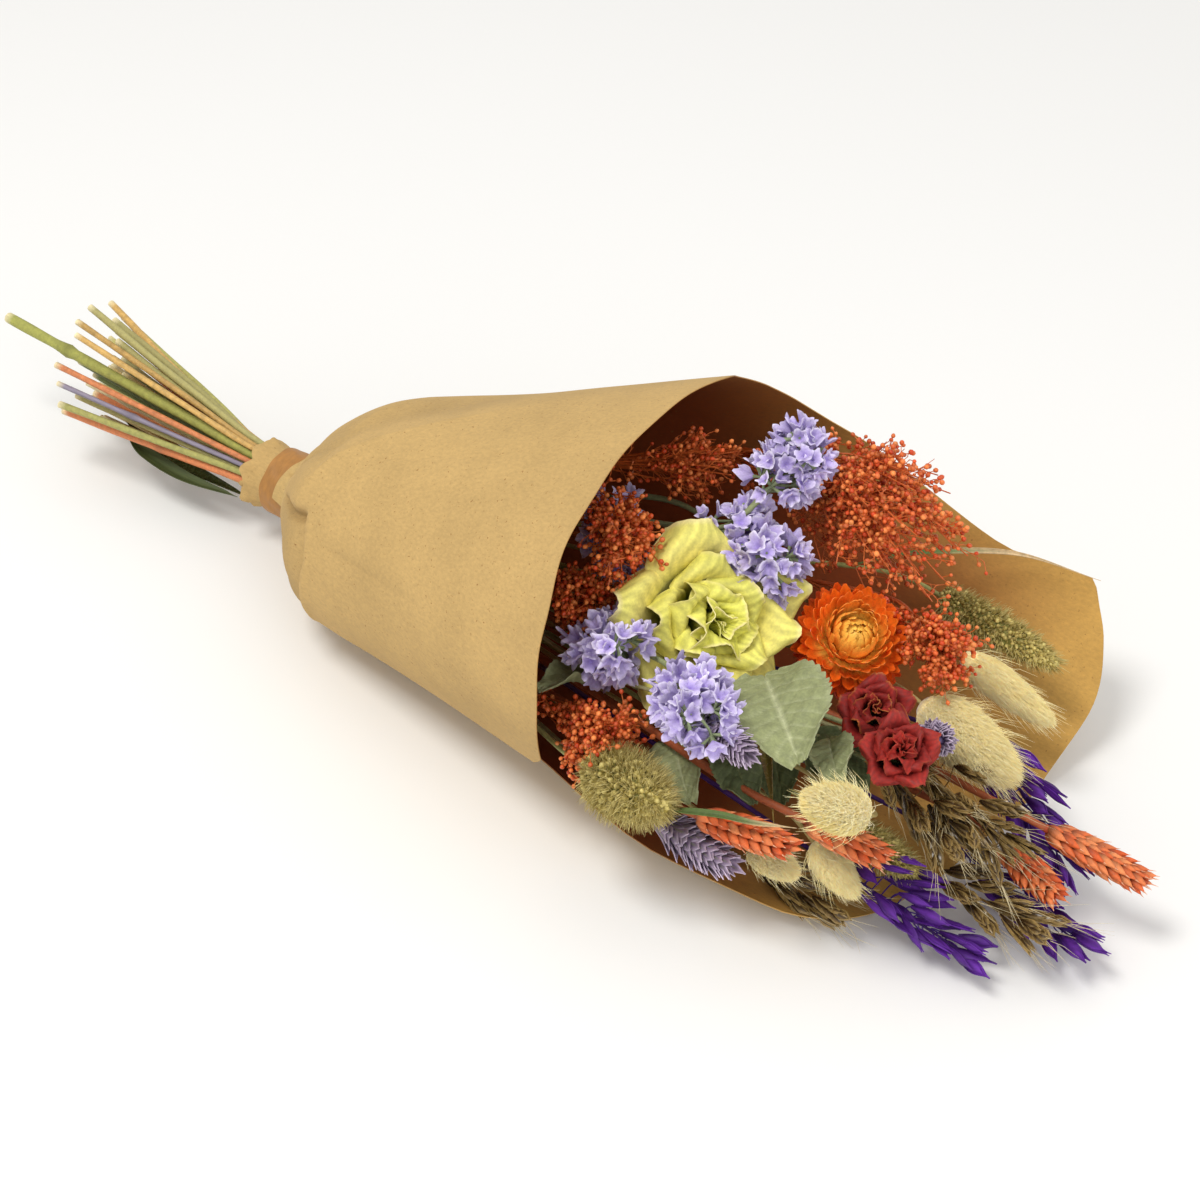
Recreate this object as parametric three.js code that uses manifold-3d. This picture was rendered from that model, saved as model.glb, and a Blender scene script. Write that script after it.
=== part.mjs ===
// A mixed bouquet of dried flowers in a rolled kraft paper wrap, lying on its side.
// Millimetres, +Z up. The stems point to -X and the flower heads to +X. All places below are
// measured from the tie: X along the bouquet, Y to the far side, Z up from the surface it lies on.

import * as THREE from "three";
import { mergeVertices } from "three/addons/utils/BufferGeometryUtils.js";
import Module from "manifold-3d";

const wasm = await Module();
wasm.setup();

// ---------------------------------------------------------------- driving dimensions

const GAP = 0.32; // clear space between neighbouring pieces
const SEED = 20517;

// The paper: one sheet rolled from its outer edge, over the top, round the far side and below.
const PAPER_THICKNESS = 1.0;
const TIE_HEIGHT = 27.6; // middle of the neck above the surface
const SHEET_START = 58; // degrees round the section: 0 below, 90 near, 180 above, 270 far
const SHEET_END = 463; // the inner edge, tucked behind the front flap
const SHEET_COLUMNS = 32;
const TUCK = { start: 372, end: 408, atNeck: 1.4, atCone: 2.0 };
// Sections at the neck and shoulder: x, half width, half height, centre height, centre y.
const NECK_SECTIONS = [
  [-7, 14.2, 14.2, TIE_HEIGHT, 0],
  [2, 12.9, 12.9, TIE_HEIGHT, 0],
  [15, 13.2, 13.2, TIE_HEIGHT, 0],
  [26, 24, 22.5, 31, -2],
  [42, 38.4, 34, 37.5, -5],
  [60, 52.2, 43.6, 41.2, -6.9],
];
const CONE = { start: 60, flare: 0.2548, squash: 0.835, lie: 0.945, drift: 0.0142 };
const CONE_ROWS = 3; // rows of the sheet from the shoulder to the rim
const RUFFLE = { waves: 5, depth: 0.07 };
const LIP = { from: 190, to: 250, sink: 0.4 }; // the near lip lies down towards the surface
// The rim: angle round the section, then how far along X the sheet reaches there.
const RIM = [
  [58, 197], [66, 206], [90, 212], [112, 210], [140, 204], [172, 202], [200, 201], [215, 195],
  [228, 197], [238, 202], [249, 210], [261, 226], [274, 247], [283, 266], [288, 283], [291, 311],
  [297, 318], [304, 324], [320, 331], [334, 329], [360, 326], [380, 318], [396, 299], [402, 275],
  [408, 250], [413, 222], [418, 198], [426, 190], [463, 184],
];

const TAPE = { start: 3, end: 14, inside: 13.9, outside: 14.6, sides: 16 };

// The bundle of stems where the tie squeezes it, and how it fans out to the cut ends: it widens,
// turns by the twist (radians), climbs by the rise and leans y to the far side.
const BUNDLE = { radius: 10.2, y: 0.7, start: -4, end: 16, squeeze: 0.004 };
const FAN = { sideways: 3.4, up: 2.8, down: 1.9, y: 8, rise: 7, twist: 0.3 };
const STEM_STATIONS = [-50, -4, 16, 70, 140, 210, 280];
const STEM_SPACE = 0.5; // kept between stems while they settle
const STEM_LEAD = 14; // the straight last run of a stem into its head
const STATION_MARGIN = { afterCut: 18, beforeLead: 16 }; // no station nearer than this to an end
const NECK_PASSES = 400;
const SETTLE_PASSES = 160;
const SETTLE_PLANES = { from: -150, to: 330, step: 12 }; // where the stems are held apart
const WALL_END = 190; // the paper is all round the stems up to here
const TONGUE = { end: 312, nearEdge: -50 }; // and only below and behind them from there on

// Where each head sits (base, tip), how wide it is, and the stem under it:
// stem is the stem's radius and cut is how far left of the tie it was cut.
const HEADS = {
  rose: { base: [221, -21, 67], tip: [241, -31, 86], radius: 24, stem: 1.9, cut: 153 },
  strawflower: { base: [266, 11, 58], tip: [276, 3, 76], radius: 20, stem: 1.2, cut: 104 },
  red_rose_1: { base: [298, -21, 63], tip: [303, -27, 75], radius: 12, stem: 1.1, cut: 110 },
  red_rose_2: { base: [318, -36, 65], tip: [323, -42, 77], radius: 11.5, stem: 1.0, cut: 96 },
  leaf_spray: { base: [254, -45, 58], tip: [259, -47, 70], radius: 3, stem: 1.1, cut: 115 },
  bunny_tail_1: { base: [300, 10, 50], tip: [342, -2, 48], radius: 11, stem: 0.9, cut: 128 },
  bunny_tail_2: { base: [324, -64, 62], tip: [315, -84, 77], radius: 8.5, stem: 0.9, cut: 100 },
  bunny_tail_3: { base: [295, 43, 50], tip: [329, 46, 36], radius: 6.5, stem: 0.9, cut: 123 },
  bunny_tail_4: { base: [300, -56, 32], tip: [320, -61, 24], radius: 6.5, stem: 0.9, cut: 106 },
  bunny_tail_5: { base: [282, -67, 28], tip: [303, -72, 31], radius: 6, stem: 0.9, cut: 98 },
  foxtail_1: { base: [272, 66, 52], tip: [323, 60, 49], radius: 8, stem: 1.1, cut: 121 },
  foxtail_2: { base: [229, -84, 45], tip: [265, -95, 56], radius: 14, stem: 1.2, cut: 103 },
  foxtail_3: { base: [305, -40, 30], tip: [331, -40, 24], radius: 7, stem: 1.1, cut: 117 },
  canary_grass_1: { base: [252, -79, 31], tip: [282, -84, 34], radius: 7, stem: 0.9, cut: 92 },
  canary_grass_2: { base: [260, -67, 73], tip: [284, -77, 77], radius: 6, stem: 0.9, cut: 109 },
  canary_grass_3: { base: [315, -11, 57], tip: [327, -24, 69], radius: 5.5, stem: 0.9, cut: 113 },
  wheat_1: { base: [271, -82, 46], tip: [313, -84, 54], radius: 7, stem: 1.7, cut: 108 },
  wheat_2: { base: [303, -66, 50], tip: [333, -58, 42], radius: 6.5, stem: 1.7, cut: 106 },
  wheat_3: { base: [347, -13, 28], tip: [382, -30, 31], radius: 6.5, stem: 1.6, cut: 108 },
  wheat_4: { base: [362, -8, 38], tip: [401, 0, 27], radius: 6.5, stem: 1.6, cut: 102 },
  oat_1: { base: [324, 22, 26], tip: [370, -1, 20], radius: 8, stem: 1.0, cut: 111 },
  oat_2: { base: [334, -11, 14], tip: [388, -23, 10], radius: 8, stem: 1.0, cut: 118 },
  oat_3: { base: [318, -46, 13], tip: [358, -50, 10], radius: 8, stem: 1.0, cut: 105 },
  brome_1: { base: [305, -18, 42], tip: [344, -38, 40], radius: 5, stem: 0.8, cut: 109 },
  brome_2: { base: [325, -14, 40], tip: [358, -32, 41], radius: 5, stem: 0.8, cut: 101 },
  brome_3: { base: [333, -30, 17], tip: [374, -35, 21], radius: 5, stem: 0.8, cut: 114 },
  brome_4: { base: [273, -58, 12], tip: [307, -58, 11], radius: 6, stem: 0.8, cut: 106 },
  statice_1: { base: [228, 10, 107], tip: [238, 27, 124], radius: 14, stem: 1.3, cut: 118 },
  statice_2: { base: [207, 9, 89], tip: [250, -2, 90], radius: 15, stem: 1.3, cut: 111 },
  statice_3: { base: [196, -48, 62], tip: [226, -60, 82], radius: 12, stem: 1.2, cut: 103 },
  statice_4: { base: [246, -61, 78], tip: [274, -83, 85], radius: 12, stem: 1.2, cut: 94 },
  statice_5: { base: [168, -4, 87], tip: [193, -22, 84], radius: 11, stem: 1.2, cut: 99 },
  broom_1: { base: [205, 52, 92], tip: [296, 27, 110], radius: 29, stem: 1.3, cut: 124 },
  broom_2: { base: [172, 12, 98], tip: [212, 22, 108], radius: 13, stem: 1.1, cut: 116 },
  broom_3: { base: [176, -12, 96], tip: [214, -41, 100], radius: 14, stem: 1.1, cut: 107 },
  broom_4: { base: [170, -38, 70], tip: [206, -44, 78], radius: 14, stem: 1.1, cut: 112 },
  broom_5: { base: [198, -66, 42], tip: [240, -82, 60], radius: 14, stem: 1.1, cut: 102 },
  broom_6: { base: [284, 27, 70], tip: [313, 8, 73], radius: 12, stem: 1.0, cut: 120 },
};
const OPEN_KINDS = /^(statice|broom|oat|brome|leaf)/; // heads that other stems may pass through
const OPEN_SHARE = 0.35; // the part of an open head's width that stems keep out of
const FUSED_KINDS = /^(foxtail|wheat|oat|brome|statice|broom|leaf)/; // heads in one body with their stem

const COLOUR = {
  kraft: 0xc9a267,
  tape: 0xb9783c,
  rose: 0xc6c45a,
  leaf: 0x7f8a66,
  strawflower: 0xe8741c,
  redRose: 0x8c1c22,
  bunny: 0xe9dcae,
  straw: 0xb7a468,
  foxtail: 0x97985a,
  canary: 0x9d88b4,
  wheat: 0xdc6a34,
  oat: 0x4a1c8c,
  brome: 0x7a5c2c,
  statice: 0xa08fd8,
  broom: 0xc14a18,
};

// ---------------------------------------------------------------- solids

/** A repeatable stream of numbers from 0 to 1. */
function randomStream(seed) {
  let state = seed >>> 0;
  return () => {
    state = (state + 0x6d2b79f5) >>> 0;
    let t = Math.imul(state ^ (state >>> 15), 1 | state);
    t = (t + Math.imul(t ^ (t >>> 7), 61 | t)) ^ t;
    return ((t ^ (t >>> 14)) >>> 0) / 4294967296;
  };
}

const mix = (a, b, t) => a + (b - a) * t;
const smooth = (from, to, x) => THREE.MathUtils.smoothstep(x, from, to);
const vec = (x, y, z) => new THREE.Vector3(x, y, z);
const radians = THREE.MathUtils.degToRad;

/** Makes an exact solid of a closed geometry, with its faces pointing out. */
function solidOf(geometry) {
  const bare = geometry.clone();
  bare.deleteAttribute("normal");
  bare.deleteAttribute("uv");
  const merged = mergeVertices(bare, 1e-5);
  const corners = merged.index.array;
  const faces = [];
  for (let i = 0; i < corners.length; i += 3) {
    const [a, b, c] = [corners[i], corners[i + 1], corners[i + 2]];
    if (a !== b && b !== c && c !== a) faces.push(a, b, c);
  }
  const vertProperties = new Float32Array(merged.attributes.position.array);
  const build = (triVerts) => new wasm.Manifold(
    new wasm.Mesh({ numProp: 3, vertProperties, triVerts: new Uint32Array(triVerts) }));
  const solid = build(faces);
  if (solid.volume() > 0) return solid;
  for (let i = 0; i < faces.length; i += 3) [faces[i], faces[i + 1]] = [faces[i + 1], faces[i]];
  return build(faces);
}

/** Joins pieces and keeps the one body that they grow from: loose scraps and hollows go. */
function fuse(pieces) {
  const whole = pieces.slice(1).reduce((sum, piece) => sum.add(piece), pieces[0]);
  const bodies = whole.decompose();
  return bodies.reduce((best, body) => (body.volume() > best.volume() ? body : best));
}

/** A frame with +Z from base to tip, for shapes that are written in a head's own axes. */
function frameAlong(base, tip, roll = 0) {
  const z = tip.clone().sub(base).normalize();
  const x = (Math.abs(z.z) < 0.95 ? vec(0, 0, 1) : vec(1, 0, 0)).cross(z).normalize();
  const y = z.clone().cross(x);
  const turned = new THREE.Matrix4().makeBasis(x, y, z).setPosition(base);
  return turned.multiply(new THREE.Matrix4().makeRotationZ(roll));
}

const placed = (geometry, frame) => solidOf(geometry.clone().applyMatrix4(frame));
const inFrame = (frame, x, y, z) => vec(x, y, z).applyMatrix4(frame);

/** A closed sheet between a front and a back grid of points, split alike on both faces. */
function sheetGeometry(rows, columns, pointAt) {
  const positions = [];
  for (const side of [0, 1]) {
    for (let i = 0; i <= rows; i++) {
      for (let j = 0; j <= columns; j++) positions.push(...pointAt(i, j, side).toArray());
    }
  }
  const across = columns + 1;
  const back = (rows + 1) * across;
  const index = [];
  const quad = (a, b, c, d) => index.push(a, b, c, a, c, d);
  for (let i = 0; i < rows; i++) {
    for (let j = 0; j < columns; j++) {
      const a = i * across + j;
      index.push(a, a + 1, a + across + 1, a, a + across + 1, a + across);
      index.push(back + a, back + a + across + 1, back + a + 1);
      index.push(back + a, back + a + across, back + a + across + 1);
    }
  }
  for (let j = 0; j < columns; j++) {
    quad(j, back + j, back + j + 1, j + 1);
    const top = rows * across + j;
    quad(top + 1, back + top + 1, back + top, top);
  }
  for (let i = 0; i < rows; i++) {
    const left = i * across;
    const right = left + columns;
    quad(left + across, back + left + across, back + left, left);
    quad(right, back + right, back + right + across, right + across);
  }
  const geometry = new THREE.BufferGeometry();
  geometry.setAttribute("position", new THREE.Float32BufferAttribute(positions, 3));
  geometry.setIndex(index);
  return geometry;
}

/** A petal, leaf or blade: surface(u, v) gives its middle, u along it and v from -1 to 1 across. */
function bladeGeometry(rows, columns, thickness, surface) {
  const step = 0.01;
  return sheetGeometry(rows, columns, (i, j, side) => {
    const u = i / rows;
    const v = (2 * j) / columns - 1;
    const along = surface(Math.min(u + step, 1), v).sub(surface(Math.max(u - step, 0), v));
    const across = surface(u, Math.min(v + step, 1)).sub(surface(u, Math.max(v - step, -1)));
    const normal = along.cross(across).normalize();
    return surface(u, v).addScaledVector(normal, (side - 0.5) * thickness);
  });
}

/** A straight run through given points, so that an extrusion turns exactly at each of them. */
class Route extends THREE.Curve {
  constructor(points) {
    super();
    this.points = points;
  }

  getPointAt(u) {
    return this.points[Math.round(u * (this.points.length - 1))].clone();
  }

  getTangentAt(u) {
    const i = Math.round(u * (this.points.length - 1));
    const next = this.points[Math.min(i + 1, this.points.length - 1)];
    return next.clone().sub(this.points[Math.max(i - 1, 0)]).normalize();
  }
}

function stemSolid(points, radius) {
  const sides = radius < 0.95 ? 3 : 4;
  const section = new THREE.Shape();
  for (let i = 0; i < sides; i++) {
    const angle = ((i + 0.5) / sides) * 2 * Math.PI;
    const corner = [radius * Math.cos(angle), radius * Math.sin(angle)];
    if (i === 0) section.moveTo(...corner);
    else section.lineTo(...corner);
  }
  const route = new Route(points);
  return solidOf(new THREE.ExtrudeGeometry(section, {
    steps: points.length - 1,
    bevelEnabled: false,
    extrudePath: route,
  }));
}

/** A thin twig from a to b. */
function twig(a, b, radiusA, radiusB, sides = 3) {
  const length = a.distanceTo(b);
  const geometry = new THREE.CylinderGeometry(radiusB, radiusA, length, sides);
  geometry.rotateX(Math.PI / 2).translate(0, 0, length / 2);
  return placed(geometry, frameAlong(a, b));
}

/** A stiff hair from a to its point b. */
function spike(a, b, radius) {
  const length = a.distanceTo(b);
  const geometry = new THREE.ConeGeometry(radius, length, 3);
  geometry.rotateX(Math.PI / 2).translate(0, 0, length / 2);
  return placed(geometry, frameAlong(a, b));
}

/** A pointed lens from a to b, such as a scale, a bract or a spikelet: wide by thick. */
function lens(a, b, width, thickness, roll = 0) {
  const length = a.distanceTo(b);
  const geometry = new THREE.OctahedronGeometry(0.5);
  geometry.scale(width, thickness, length).translate(0, 0, length / 2);
  return placed(geometry, frameAlong(a, b, roll));
}

/** A tapering three-sided body through rings of [centre, radius]; its last ring is its point. */
function beads(rings, sides = 3) {
  const positions = [];
  rings.forEach(([centre, radius], i) => {
    const before = rings[Math.max(i - 1, 0)][0];
    const after = rings[Math.min(i + 1, rings.length - 1)][0];
    const frame = frameAlong(centre, centre.clone().add(after).sub(before));
    const count = i === rings.length - 1 ? 1 : sides;
    for (let k = 0; k < count; k++) {
      const angle = (k / sides) * 2 * Math.PI;
      const reach = count === 1 ? 0 : radius;
      positions.push(...aroundAxis(frame, reach, angle, 0).toArray());
    }
  });
  const index = [];
  const point = (rings.length - 1) * sides;
  for (let i = 0; i < rings.length - 1; i++) {
    for (let k = 0; k < sides; k++) {
      const [a, b] = [i * sides + k, i * sides + ((k + 1) % sides)];
      if (i === rings.length - 2) index.push(a, b, point);
      else index.push(a, b, b + sides, a, b + sides, a + sides);
    }
  }
  for (let k = 1; k < sides - 1; k++) index.push(0, k + 1, k);
  const geometry = new THREE.BufferGeometry();
  geometry.setAttribute("position", new THREE.Float32BufferAttribute(positions, 3));
  geometry.setIndex(index);
  return solidOf(geometry);
}

/** A spindle round a head's axis; outline lists [radius, height] and starts and ends at radius 0. */
function spindle(frame, outline, sides) {
  const points = outline.map(([radius, height]) => new THREE.Vector2(radius, height));
  return placed(new THREE.LatheGeometry(points, sides).rotateX(Math.PI / 2), frame);
}

// ---------------------------------------------------------------- the paper wrap

/** Reads a table of [x, values...] at x, straight between its rows. */
function lookUp(table, x) {
  const last = table[table.length - 1];
  if (x >= last[0]) return last.slice(1);
  const i = Math.max(1, table.findIndex((row) => row[0] > x));
  const [low, high] = [table[i - 1], table[i]];
  const t = Math.max(0, (x - low[0]) / (high[0] - low[0]));
  return low.slice(1).map((value, k) => mix(value, high[k + 1], t));
}

/** The wrap's section at x: half width, half height, centre height and centre y. */
function sectionAt(x) {
  if (x < CONE.start) return lookUp(NECK_SECTIONS, x);
  const [startWidth, , , startY] = NECK_SECTIONS[NECK_SECTIONS.length - 1].slice(1);
  const halfWidth = startWidth + (x - CONE.start) * CONE.flare;
  const halfHeight = halfWidth * CONE.squash;
  return [halfWidth, halfHeight, halfHeight * CONE.lie, startY + (x - CONE.start) * CONE.drift];
}

/** A point of the wrap, a given depth in from its outer face. */
function wrapPoint(x, degrees, depth) {
  let [halfWidth, halfHeight, centreZ, centreY] = sectionAt(x);
  const angle = radians(degrees);
  if (x <= NECK_SECTIONS[0][0]) {
    const wave = 1 + RUFFLE.depth * Math.cos(RUFFLE.waves * angle);
    halfWidth *= wave;
    halfHeight *= wave;
  }
  const normal = new THREE.Vector2(-Math.sin(angle) / halfWidth, -Math.cos(angle) / halfHeight);
  normal.normalize();
  const y = centreY - halfWidth * Math.sin(angle) - normal.x * depth;
  let z = centreZ - halfHeight * Math.cos(angle) - normal.y * depth;
  if (degrees > 360) z *= 1 - LIP.sink * smooth(LIP.from, LIP.to, x);
  return vec(x, y, Math.max(z, depth));
}

function paperWrap() {
  const neckRows = NECK_SECTIONS.map((row) => row[0]);
  const rows = neckRows.length - 1 + CONE_ROWS;
  return solidOf(sheetGeometry(rows, SHEET_COLUMNS, (i, j, side) => {
    const degrees = mix(SHEET_START, SHEET_END, j / SHEET_COLUMNS);
    const [rim] = lookUp(RIM, degrees);
    const along = (i - neckRows.length + 1) / CONE_ROWS;
    const x = i < neckRows.length ? neckRows[i] : mix(CONE.start, rim, along);
    const tuck = mix(TUCK.atNeck, TUCK.atCone, smooth(0, CONE.start, x));
    const depth = tuck * smooth(TUCK.start, TUCK.end, degrees) + side * PAPER_THICKNESS;
    return wrapPoint(x, degrees, depth);
  }));
}

function tapeBand() {
  const outline = [
    new THREE.Vector2(TAPE.inside, TAPE.start),
    new THREE.Vector2(TAPE.outside, TAPE.start),
    new THREE.Vector2(TAPE.outside, TAPE.end),
    new THREE.Vector2(TAPE.inside, TAPE.end),
    new THREE.Vector2(TAPE.inside, TAPE.start),
  ];
  const ring = new THREE.LatheGeometry(outline, TAPE.sides);
  return solidOf(ring.rotateZ(-Math.PI / 2).translate(0, 0, TIE_HEIGHT));
}

// ---------------------------------------------------------------- the stems' routes

/** Moves two discs of one section apart to their wanted distance; returns the push on the first. */
function pushApart(dy, dz, wanted) {
  const distance = Math.hypot(dy, dz) || 0.001;
  if (distance >= wanted) return null;
  const push = (wanted - distance) / 2 / distance;
  return [dy * push, dz * push];
}

/** Packs the stems side by side in the neck, in the order of where their heads are. */
function neckSlots(stems) {
  const aims = stems.map(({ head }) => {
    const [x, y, z] = head.base;
    return [y / x, (z - TIE_HEIGHT) / x];
  });
  const mean = [0, 1].map((k) => aims.reduce((sum, aim) => sum + aim[k], 0) / aims.length);
  const reach = Math.max(...aims.map((aim) => Math.hypot(aim[0] - mean[0], aim[1] - mean[1])));
  const slots = aims.map((aim) => aim.map((value, k) => ((value - mean[k]) / reach) * BUNDLE.radius));
  for (let pass = 0; pass < NECK_PASSES; pass++) {
    for (let i = 0; i < slots.length; i++) {
      for (let j = i + 1; j < slots.length; j++) {
        const wanted = stems[i].radius + stems[j].radius + STEM_SPACE;
        const push = pushApart(slots[i][0] - slots[j][0], slots[i][1] - slots[j][1], wanted);
        if (!push) continue;
        for (const k of [0, 1]) {
          slots[i][k] += push[k];
          slots[j][k] -= push[k];
        }
      }
    }
    slots.forEach((slot, i) => {
      const limit = BUNDLE.radius - stems[i].radius;
      const distance = Math.hypot(...slot) || 1;
      const pull = Math.min(1 - BUNDLE.squeeze, limit / distance);
      slot.forEach((value, k) => (slot[k] = value * pull));
    });
  }
  return slots;
}

/** The points of a stem before it settles: cut end, stations, and straight into its head. */
function firstRoute(head, slot) {
  const [y, z] = slot;
  const spread = new THREE.Vector2(y, z).rotateAround(new THREE.Vector2(), FAN.twist);
  const base = vec(...head.base);
  const into = vec(...head.tip).sub(base).normalize();
  const before = base.clone().addScaledVector(into, -STEM_LEAD);
  const climb = spread.y * (spread.y > 0 ? FAN.up : FAN.down);
  const neck = vec(0, y + BUNDLE.y, z + TIE_HEIGHT);
  const end = vec(-head.cut, spread.x * FAN.sideways + FAN.y, climb + TIE_HEIGHT + FAN.rise);
  const points = [end];
  for (const x of STEM_STATIONS) {
    if (x < end.x + STATION_MARGIN.afterCut || x > before.x - STATION_MARGIN.beforeLead) continue;
    const point = neck.clone().setX(x);
    if (x < BUNDLE.start) point.lerp(end, (x - BUNDLE.start) / (end.x - BUNDLE.start)).setX(x);
    if (x > BUNDLE.end) point.lerp(before, (x - BUNDLE.end) / (before.x - BUNDLE.end)).setX(x);
    points.push(point);
  }
  points.push(before, base);
  return points;
}

/** Where a route passes the plane at x: its segment, how far along it, and y and z there. */
function crossingAt(points, x) {
  for (let i = 1; i < points.length; i++) {
    const [a, b] = [points[i - 1], points[i]];
    if (x >= a.x && x < b.x) {
      const t = (x - a.x) / (b.x - a.x);
      return { i, t, y: mix(a.y, b.y, t), z: mix(a.z, b.z, t) };
    }
  }
  return null;
}

/** Lets the stems push each other, the heads and the paper aside until all lie clear. */
function settle(stems) {
  const isFree = (stem, i) => {
    const x = stem.points[i].x;
    const atNeck = x >= BUNDLE.start && x <= BUNDLE.end;
    return i > 0 && i < stem.points.length - 2 && !atNeck;
  };
  const shift = (stem, crossing, dy, dz) => {
    const shares = [[crossing.i - 1, 1 - crossing.t], [crossing.i, crossing.t]];
    for (const [i, share] of shares) {
      if (!isFree(stem, i)) continue;
      stem.points[i].y += dy * share;
      stem.points[i].z += dz * share;
    }
  };
  for (let pass = 0; pass < SETTLE_PASSES; pass++) {
    for (let x = SETTLE_PLANES.from; x < SETTLE_PLANES.to; x += SETTLE_PLANES.step) {
      const met = [];
      for (const stem of stems) {
        const crossing = crossingAt(stem.points, x);
        if (crossing) met.push({ stem, crossing });
      }
      for (let i = 0; i < met.length; i++) {
        for (let j = i + 1; j < met.length; j++) {
          const [a, b] = [met[i], met[j]];
          const wanted = a.stem.radius + b.stem.radius + STEM_SPACE;
          const push = pushApart(a.crossing.y - b.crossing.y, a.crossing.z - b.crossing.z, wanted);
          if (!push) continue;
          shift(a.stem, a.crossing, push[0], push[1]);
          shift(b.stem, b.crossing, -push[0], -push[1]);
        }
      }
      for (const { stem, crossing } of met) {
        const here = vec(x, crossing.y, crossing.z);
        for (const other of stems) {
          if (other === stem) continue;
          const near = other.axis.closestPointToPoint(here, true, vec(0, 0, 0));
          const wanted = other.clearance + stem.radius + STEM_SPACE;
          const distance = near.distanceTo(here);
          if (distance >= wanted) continue;
          const dy = here.y - near.y;
          const dz = here.z - near.z;
          const size = Math.hypot(dy, dz) || 1;
          shift(stem, crossing, (dy / size) * (wanted - distance), (dz / size) * (wanted - distance));
        }
        const lowest = stem.radius * 1.5 + PAPER_THICKNESS + GAP;
        if (here.z < lowest) shift(stem, crossing, 0, lowest - here.z);
        const [halfWidth, halfHeight, centreZ, centreY] = sectionAt(x);
        const overTongue = x < TONGUE.end && here.z < centreZ && here.y > TONGUE.nearEdge;
        if (x > NECK_SECTIONS[0][0] && (x < WALL_END || overTongue)) {
          const margin = PAPER_THICKNESS + TUCK.atCone + stem.radius + 2 * GAP;
          const [dy, dz] = [here.y - centreY, here.z - centreZ];
          const reach = Math.hypot(dy / (halfWidth - margin), dz / (halfHeight - margin));
          if (reach > 1) shift(stem, crossing, dy / reach - dy, dz / reach - dz);
        }
      }
    }
  }
}

function makeStems() {
  const stems = Object.entries(HEADS).map(([name, head]) => ({
    name,
    head,
    radius: head.stem,
    clearance: head.radius * (OPEN_KINDS.test(name) ? OPEN_SHARE : 1),
    axis: new THREE.Line3(vec(...head.base), vec(...head.tip)),
  }));
  neckSlots(stems).forEach((slot, i) => {
    stems[i].points = firstRoute(stems[i].head, slot);
  });
  settle(stems);
  return stems;
}

// ---------------------------------------------------------------- keeping pieces clear

const standing = []; // every solid so far, with the plant that owns it

function boxesApart(a, b) {
  return [0, 1, 2].some((k) => a.min[k] > b.max[k] + GAP || b.min[k] > a.max[k] + GAP);
}

function isClear(piece, owner) {
  const box = piece.boundingBox();
  return standing.every((other) => other.owner === owner || boxesApart(box, other.box)
    || piece.minGap(other.solid, GAP * 1.2) >= GAP);
}

function stand(owner, solid) {
  standing.push({ owner, solid, box: solid.boundingBox() });
  return solid;
}

/** Draws a small piece up to a few times and keeps the first that is clear of other plants. */
function addWhereClear(pieces, owner, draw, tries = 3) {
  for (let attempt = 0; attempt < tries; attempt++) {
    const piece = draw(attempt);
    if (isClear(piece, owner)) {
      pieces.push(stand(owner, piece));
      return true;
    }
  }
  return false;
}

// ---------------------------------------------------------------- the flower heads

const GOLDEN_ANGLE = Math.PI * (3 - Math.sqrt(5));
const PETAL_THICKNESS = 0.75;
const LEAF = { thickness: 0.7, fold: 0.22, arch: 0.08, notch: 0.86, stalkMeets: 0.12 };
const GRASS_BLADE = { thickness: 0.75, rows: 5, narrowest: 0.2 };

function headFrame(head, roll = 0) {
  return frameAlong(vec(...head.base), vec(...head.tip), roll);
}

function headLength(head) {
  return vec(...head.base).distanceTo(vec(...head.tip));
}

/**
 * A rose petal in the bloom's own axes. It climbs from a root radius and foot height to its lip,
 * spread is half its angle, roll turns its edge out and lap lays one side over the next petal.
 */
function petalGeometry({ azimuth, spread, root, foot, lip, height, roll, rows, lap }) {
  return bladeGeometry(rows, 2, PETAL_THICKNESS, (u, v) => {
    const width = 0.5 + 0.5 * Math.sin(Math.PI * Math.min(1, 0.15 + 0.62 * u));
    const angle = azimuth + v * spread * width;
    const curled = smooth(0.6, 1, u);
    const radius = mix(root, lip, u ** 0.85) + roll * curled + lap * v * (0.3 + 0.7 * u);
    const rise = mix(foot, height, 1 - (1 - u) ** 1.6) * (1 - 0.14 * v * v * u);
    return vec(radius * Math.cos(angle), radius * Math.sin(angle), rise - roll * 0.7 * curled ** 2);
  });
}

/** A rose: a closed bud and rings of petals that open outwards. */
function roseBloom(name, rings, bud) {
  const head = HEADS[name];
  const frame = headFrame(head);
  const random = randomStream(SEED + name.length * 7 + head.radius);
  const pieces = [stand(name, spindle(frame, bud, 5))];
  for (const ring of rings) {
    for (let i = 0; i < ring.count; i++) {
      addWhereClear(pieces, name, (attempt) => {
        const azimuth = ring.turn + ((i + random() * 0.18) / ring.count) * 2 * Math.PI;
        const shrink = 1 - 0.12 * attempt;
        const lip = ring.lip * shrink * mix(0.97, 1.03, random());
        const height = ring.height * mix(0.97, 1.03, random());
        return placed(petalGeometry({ ...ring, azimuth, lip, height }), frame);
      });
    }
  }
  return fuse(pieces);
}

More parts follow.
